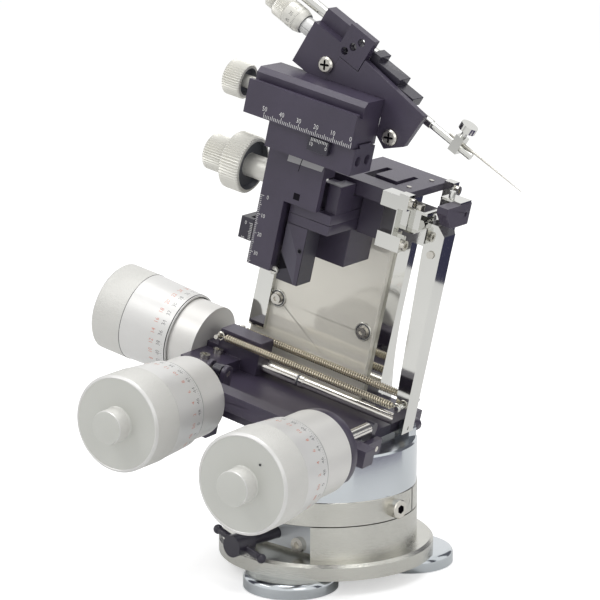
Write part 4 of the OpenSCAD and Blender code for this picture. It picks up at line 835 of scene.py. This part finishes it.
def block(name, body, where, low, high, material, bevel=0.35):
    """A block between two corners in the millimetres of the frame where, with bevelled edges."""
    mesh = bpy.data.meshes.new(name)
    shape = bmesh.new()
    bmesh.ops.create_cube(shape, size=1)
    low, high = Vector(low), Vector(high)
    for corner in shape.verts:
        scaled = Vector([(high - low)[k] * corner.co[k] for k in range(3)])
        corner.co = (low + high) / 2 + scaled
    bmesh.ops.bevel(shape, geom=shape.edges[:], offset=bevel, segments=2, profile=0.6, affect="EDGES")
    for corner in shape.verts:
        corner.co = where @ (corner.co * MM)
    bmesh.ops.recalc_face_normals(shape, faces=shape.faces[:])
    shape.to_mesh(mesh)
    shape.free()
    return keep(mesh, name, body, material, 30)


def screw(name, body, where, radius, high, recess, reach, material, round_over=0.3):
    """A screw head on the origin of where; its recess is a hexagon (2), a cross (3) or a slot (4)."""
    depth = min(high * 0.6, 1.6)
    # The socket takes the near-black second finish: painted shade.
    return spin(name, body, where,
                [(0.0, radius, 0, 0), (high - round_over, radius, 0, 0),
                 (high, radius - round_over, 0, 0), (high, reach, 0, recess),
                 (high, reach - 0.02, 1, recess), (high - depth, reach - 0.1, 1, recess),
                 (high - depth, 0.0, 1, 0)], [material, RECESS_PAINTED_SHADE], steps=48)


print("blocks and screws ready")

# %% [markdown]
# The front of the vertical slide is built up from plates. Two thin ones lie one on
# the other with a fine seam. The top of the head carries two polished facets, drawn
# as flat grey shapes on its front: their light grey is a painted highlight, so they
# shine even under flat light.

# %% Plates of the vertical slide
FACET_PAINTED_HIGHLIGHT = finish("facet_painted_highlight", (0.33, 0.325, 0.335), 0.2, 0.35, 0.08, 2400, 0.08)
SLANT_PAINTED_LIGHT = finish("slant_painted_light", (0.075, 0.068, 0.095), 0.0, 0.42, 0.12, 2400, 0.2)
block("lower_plate", "stage_z", HEAD, (-64.2, -33.9, 101.9), (-40.4, -29.8, 107.1), BLACK, 0.3)
block("upper_plate", "stage_z", HEAD, (-64.2, -33.9, 107.3), (-40.4, -29.8, 112.5), BLACK, 0.3)
# The facets' grey is a painted highlight on the black front.
for name, corners in (("facet_left", [(-68.4, 137.9), (-68.9, 133.3), (-61.4, 133.5), (-60.5, 138.4)]),
                      ("facet_right", [(-59.9, 138.4), (-60.9, 133.6), (-48.6, 133.8), (-47.3, 137.9)])):
    print_marks(name, "vertical_slide", FACET_PAINTED_HIGHLIGHT, front_face(UPRIGHT_FACE + 0.05), [corners])
screw("rail_screw", "stage_z", HEAD @ at(-65.6, -33.8, 75.4) @ FRONT, 2.1, 1.6, 4, 1.7, CREAM)
print("plates", 2, "facets", 2)

# %% [markdown]
# Two pan head screws hold the plate of the electrode drive. Their cross recess is
# what the eye looks for, and it needs real depth, so they replace the plain heads
# of the solids. Each is turned a little, as a screw stops where it is tight.

# %% Screws of the electrode drive
SCREW_TURN = Matrix.Rotation(0.5, 4, "Z")
for i, (u, w) in enumerate(((-1.8, -7.8), (47.0, -16.0))):
    pan = screw(f"pan_screw_{i}", "horizontal_slide", DRIVE @ at(u, -26, w) @ FRONT @ SCREW_TURN,
                4.1, 2.2, 3, 2.6, STEEL, 0.8)
    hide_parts("bracket_screws")
print("cross recess screws", 2)

# %% [markdown]
# The collar that clamps the turntable is a plain brushed ring with a slit. A large
# cap screw stands out of it beside the slit, and a dark counterbore sits between.
# The inside of the counterbore and a thin block in the slit are near black: painted
# shade.

# %% Collar
COLLAR_LOW, COLLAR_HIGH = 33.3, 46.0
COLLAR_Z, COLLAR_R, COLLAR_BORE_R = 39.65, 47.8, 46.0
collar = spin("collar_ring", "turntable", at(0, 0, 0),
              [(COLLAR_LOW, COLLAR_BORE_R, 0, 0), (COLLAR_LOW, COLLAR_R - 0.3, 0, 0),
               (33.6, COLLAR_R, 0, 0), (45.7, COLLAR_R, 0, 0),
               (COLLAR_HIGH, COLLAR_R - 0.3, 0, 0), (COLLAR_HIGH, COLLAR_BORE_R, 0, 0)],
              [NICKEL], steps=192)
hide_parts("clamp_collar")


def round_the_collar(angle, out):
    """A place on the collar's mid height at this angle, with Z pointing outwards."""
    return Matrix.Rotation(math.radians(angle), 4, "Z") @ at(out, 0, COLLAR_Z) @ ALONG_X


screw("collar_cap_screw", "turntable", round_the_collar(-13, COLLAR_R - 1),
      4.9, 6.0, 2, 2.4, STEEL, 0.5)
spin("collar_counterbore", "turntable", round_the_collar(2.5, COLLAR_R - 0.6),
     [(0.0, 2.3, 0, 0), (0.62, 2.3, 0, 0), (0.62, 1.9, 1, 0), (0.2, 1.8, 1, 0), (0.2, 0.0, 1, 0)],
     [STEEL, RECESS_PAINTED_SHADE], steps=32)
# The slit is a thin near-black block in the ring: painted shade in the cut.
block("collar_slit", "turntable", Matrix.Rotation(math.radians(9), 4, "Z"),
      (44.0, -0.5, 33.4), (COLLAR_R + 0.03, 0.5, 45.9), RECESS_PAINTED_SHADE, 0.05)
print("collar height", round(COLLAR_HIGH - COLLAR_LOW, 1))

# %% [markdown]
# The lever's push rod is ground steel with a thicker sleeve on its outer half. A
# shallow groove, turned just before the sleeve ends, marks where the two meet; it
# is coloured dark as painted shade.

# %% Sleeve of the long push rod
ROD_A = HEAD @ at(-88, 8, 7) @ ALONG_X
spin("push_rod_sleeve", "rod_a", ROD_A,
     [(0.0, 3.0, 0, 0), (0.0, 3.45, 0, 0), (26.4, 3.45, 0, 0), (26.8, 3.1, 1, 0),
      (27.6, 3.1, 1, 0), (28.0, 3.5, 0, 0), (30.6, 3.5, 0, 0), (31.0, 3.05, 0, 0),
      (31.0, 3.0, 0, 0)], [ROD, PAINTED_SHADE], steps=48)
print("sleeve length", 31)

# %% [markdown]
# The rail of the vertical slide is not a plain bar: its front is milled away on a
# slant. The slant is coloured lighter than the rail's black, a painted light that
# runs down beside the scale column as a wedge into a dark hollow, and the hollow
# is a near-black face of painted shade.
# The faces are given as corners in the plane of the front, each with its depth.

# %% Milled front of the rail


def facets(name, body, material, *faces):
    """Flat faces given by their corners in millimetres of the head's frame."""
    mesh = bpy.data.meshes.new(name)
    points, rings = [], []
    for face in faces:
        rings.append(list(range(len(points), len(points) + len(face))))
        points += [HEAD @ (Vector(corner) * MM) for corner in face]
    mesh.from_pydata(points, [], rings)
    return keep(mesh, name, body, material, 10)


FRONT_Y, FLOOR_Y = -34.1, -33.66
HOLLOW_Y = FLOOR_Y - 0.01
top_left, top_right = (-63.1, FRONT_Y, 101.7), (-51.7, FRONT_Y, 101.8)
low_left, low_right = (-53.6, FRONT_Y, 71.3), (-51.7, FRONT_Y, 72.0)
waist = (-54.6, FRONT_Y, 86.2)
facets("rail_front", "stage_z", BLACK, (top_left, waist, low_left, low_right, top_right),
       (low_left, (-53.6, FLOOR_Y, 71.3), (-51.7, FLOOR_Y, 72.0), low_right))
# The slant is a lighter copy of the black: painted light. The hollow is painted shade.
facets("rail_slant", "stage_z", SLANT_PAINTED_LIGHT,
       (top_left, (-64.2, FLOOR_Y, 100.4), (-64.2, FLOOR_Y, 86.6), waist),
       (waist, (-64.2, FLOOR_Y, 86.6), (-59.0, FLOOR_Y, 78.8), low_left))
facets("rail_hollow", "stage_z", RECESS_PAINTED_SHADE,
       ((-64.3, HOLLOW_Y, 85.4), (-64.3, HOLLOW_Y, 76.3), (-59.2, HOLLOW_Y, 78.6)))
screw("rail_socket", "stage_z", HEAD @ at(-53.6, -34.1, 89.6) @ FRONT, 1.5, 0.25, 2, 1.0, DARK, 0.1)
print("rail faces", 5)

# %% [markdown]
# Behind the head of the vertical slide stand black blocks that stay where they are
# when it moves, so they ride on the stage. Cutting them from one solid would show
# no more than bevelled blocks do. The plug, the window and the slit are flat shapes
# a few hundredths of a millimetre in front of the head, each a little further out.
# The window and the slit are near black: painted shade where the openings are.

# %% Blocks behind the slide's head
block("upper_block", "stage_z", HEAD, (-47.1, -29.95, 112.55), (-40.45, -15.0, 127.0), BLACK, 0.5)
block("upper_block_core", "stage_z", HEAD, (-53.0, -25.5, 112.55), (-47.0, -16.0, 126.0), BLACK, 0.4)
block("upper_block_tail", "stage_z", HEAD, (-47.1, -15.2, 112.55), (-40.45, 2.0, 120.6), BLACK, 0.4)
block("seam_plate_low", "stage_z", HEAD, (-41.0, -33.85, 101.95), (-40.3, 4.0, 107.15), BLACK, 0.2)
block("seam_plate_high", "stage_z", HEAD, (-41.0, -33.85, 107.35), (-40.3, 4.0, 112.45), BLACK, 0.2)
cover = [[(-57.5, 125.9), (-54.0, 125.9), (-54.0, 129.4), (-57.5, 129.4)]]
print_marks("head_plug", "vertical_slide", BLACK, front_face(UPRIGHT_FACE + 0.02), cover)
# Window and slit: painted shade.
window = [[(-61.4, 115.6), (-57.8, 115.6), (-57.8, 119.0), (-61.4, 119.0)]]
print_marks("head_window", "vertical_slide", RECESS_PAINTED_SHADE, front_face(UPRIGHT_FACE + 0.03), window)
slit = [[(-60.1, 138.8), (-60.5, 138.8), (-61.7, 130.0), (-61.4, 130.0)]]
print_marks("head_slit", "vertical_slide", RECESS_PAINTED_SHADE, front_face(UPRIGHT_FACE + 0.04), slit)
print("blocks", 5)

# %% [markdown]
# Small fittings that the eye looks for: a washer under each screw of the polished
# plate, with its inner step coloured dark as painted shade, and the round eyes into
# which the springs hook at both ends.

# %% Washers and spring eyes
for i, x in enumerate((-92.7, -38.5)):
    spin(f"plate_washer_{i}", "head", HEAD @ at(x, 25.0, 39.5) @ FRONT,
         [(0.0, 5.0, 0, 0), (0.5, 5.0, 0, 0), (0.75, 4.7, 0, 0), (0.75, 4.3, 1, 0),
          (0.35, 4.2, 1, 0), (0.35, 3.7, 1, 0), (0.6, 3.6, 0, 0), (0.6, 3.0, 0, 0)],
         [NICKEL, PAINTED_SHADE], steps=48)
EYE_R, EYE_WIRE = 1.9, 0.55
EYE = []
for k in range(11):
    turn = 2 * math.pi * k / 10
    EYE.append((EYE_WIRE * math.sin(turn), EYE_R - EYE_WIRE * math.cos(turn), 0, 0))
for name, y in SPRINGS.items():
    for end, body, x in (("near", "head", -107.4), ("far", "lever", 2.6)):
        spin(f"spring_eye_{name}_{end}", body, HEAD @ at(x, y, SPRING_Z) @ ALONG_Y, EYE, [STEEL],
             steps=24, capped=False)
print("washers", 2, "eyes", 4)
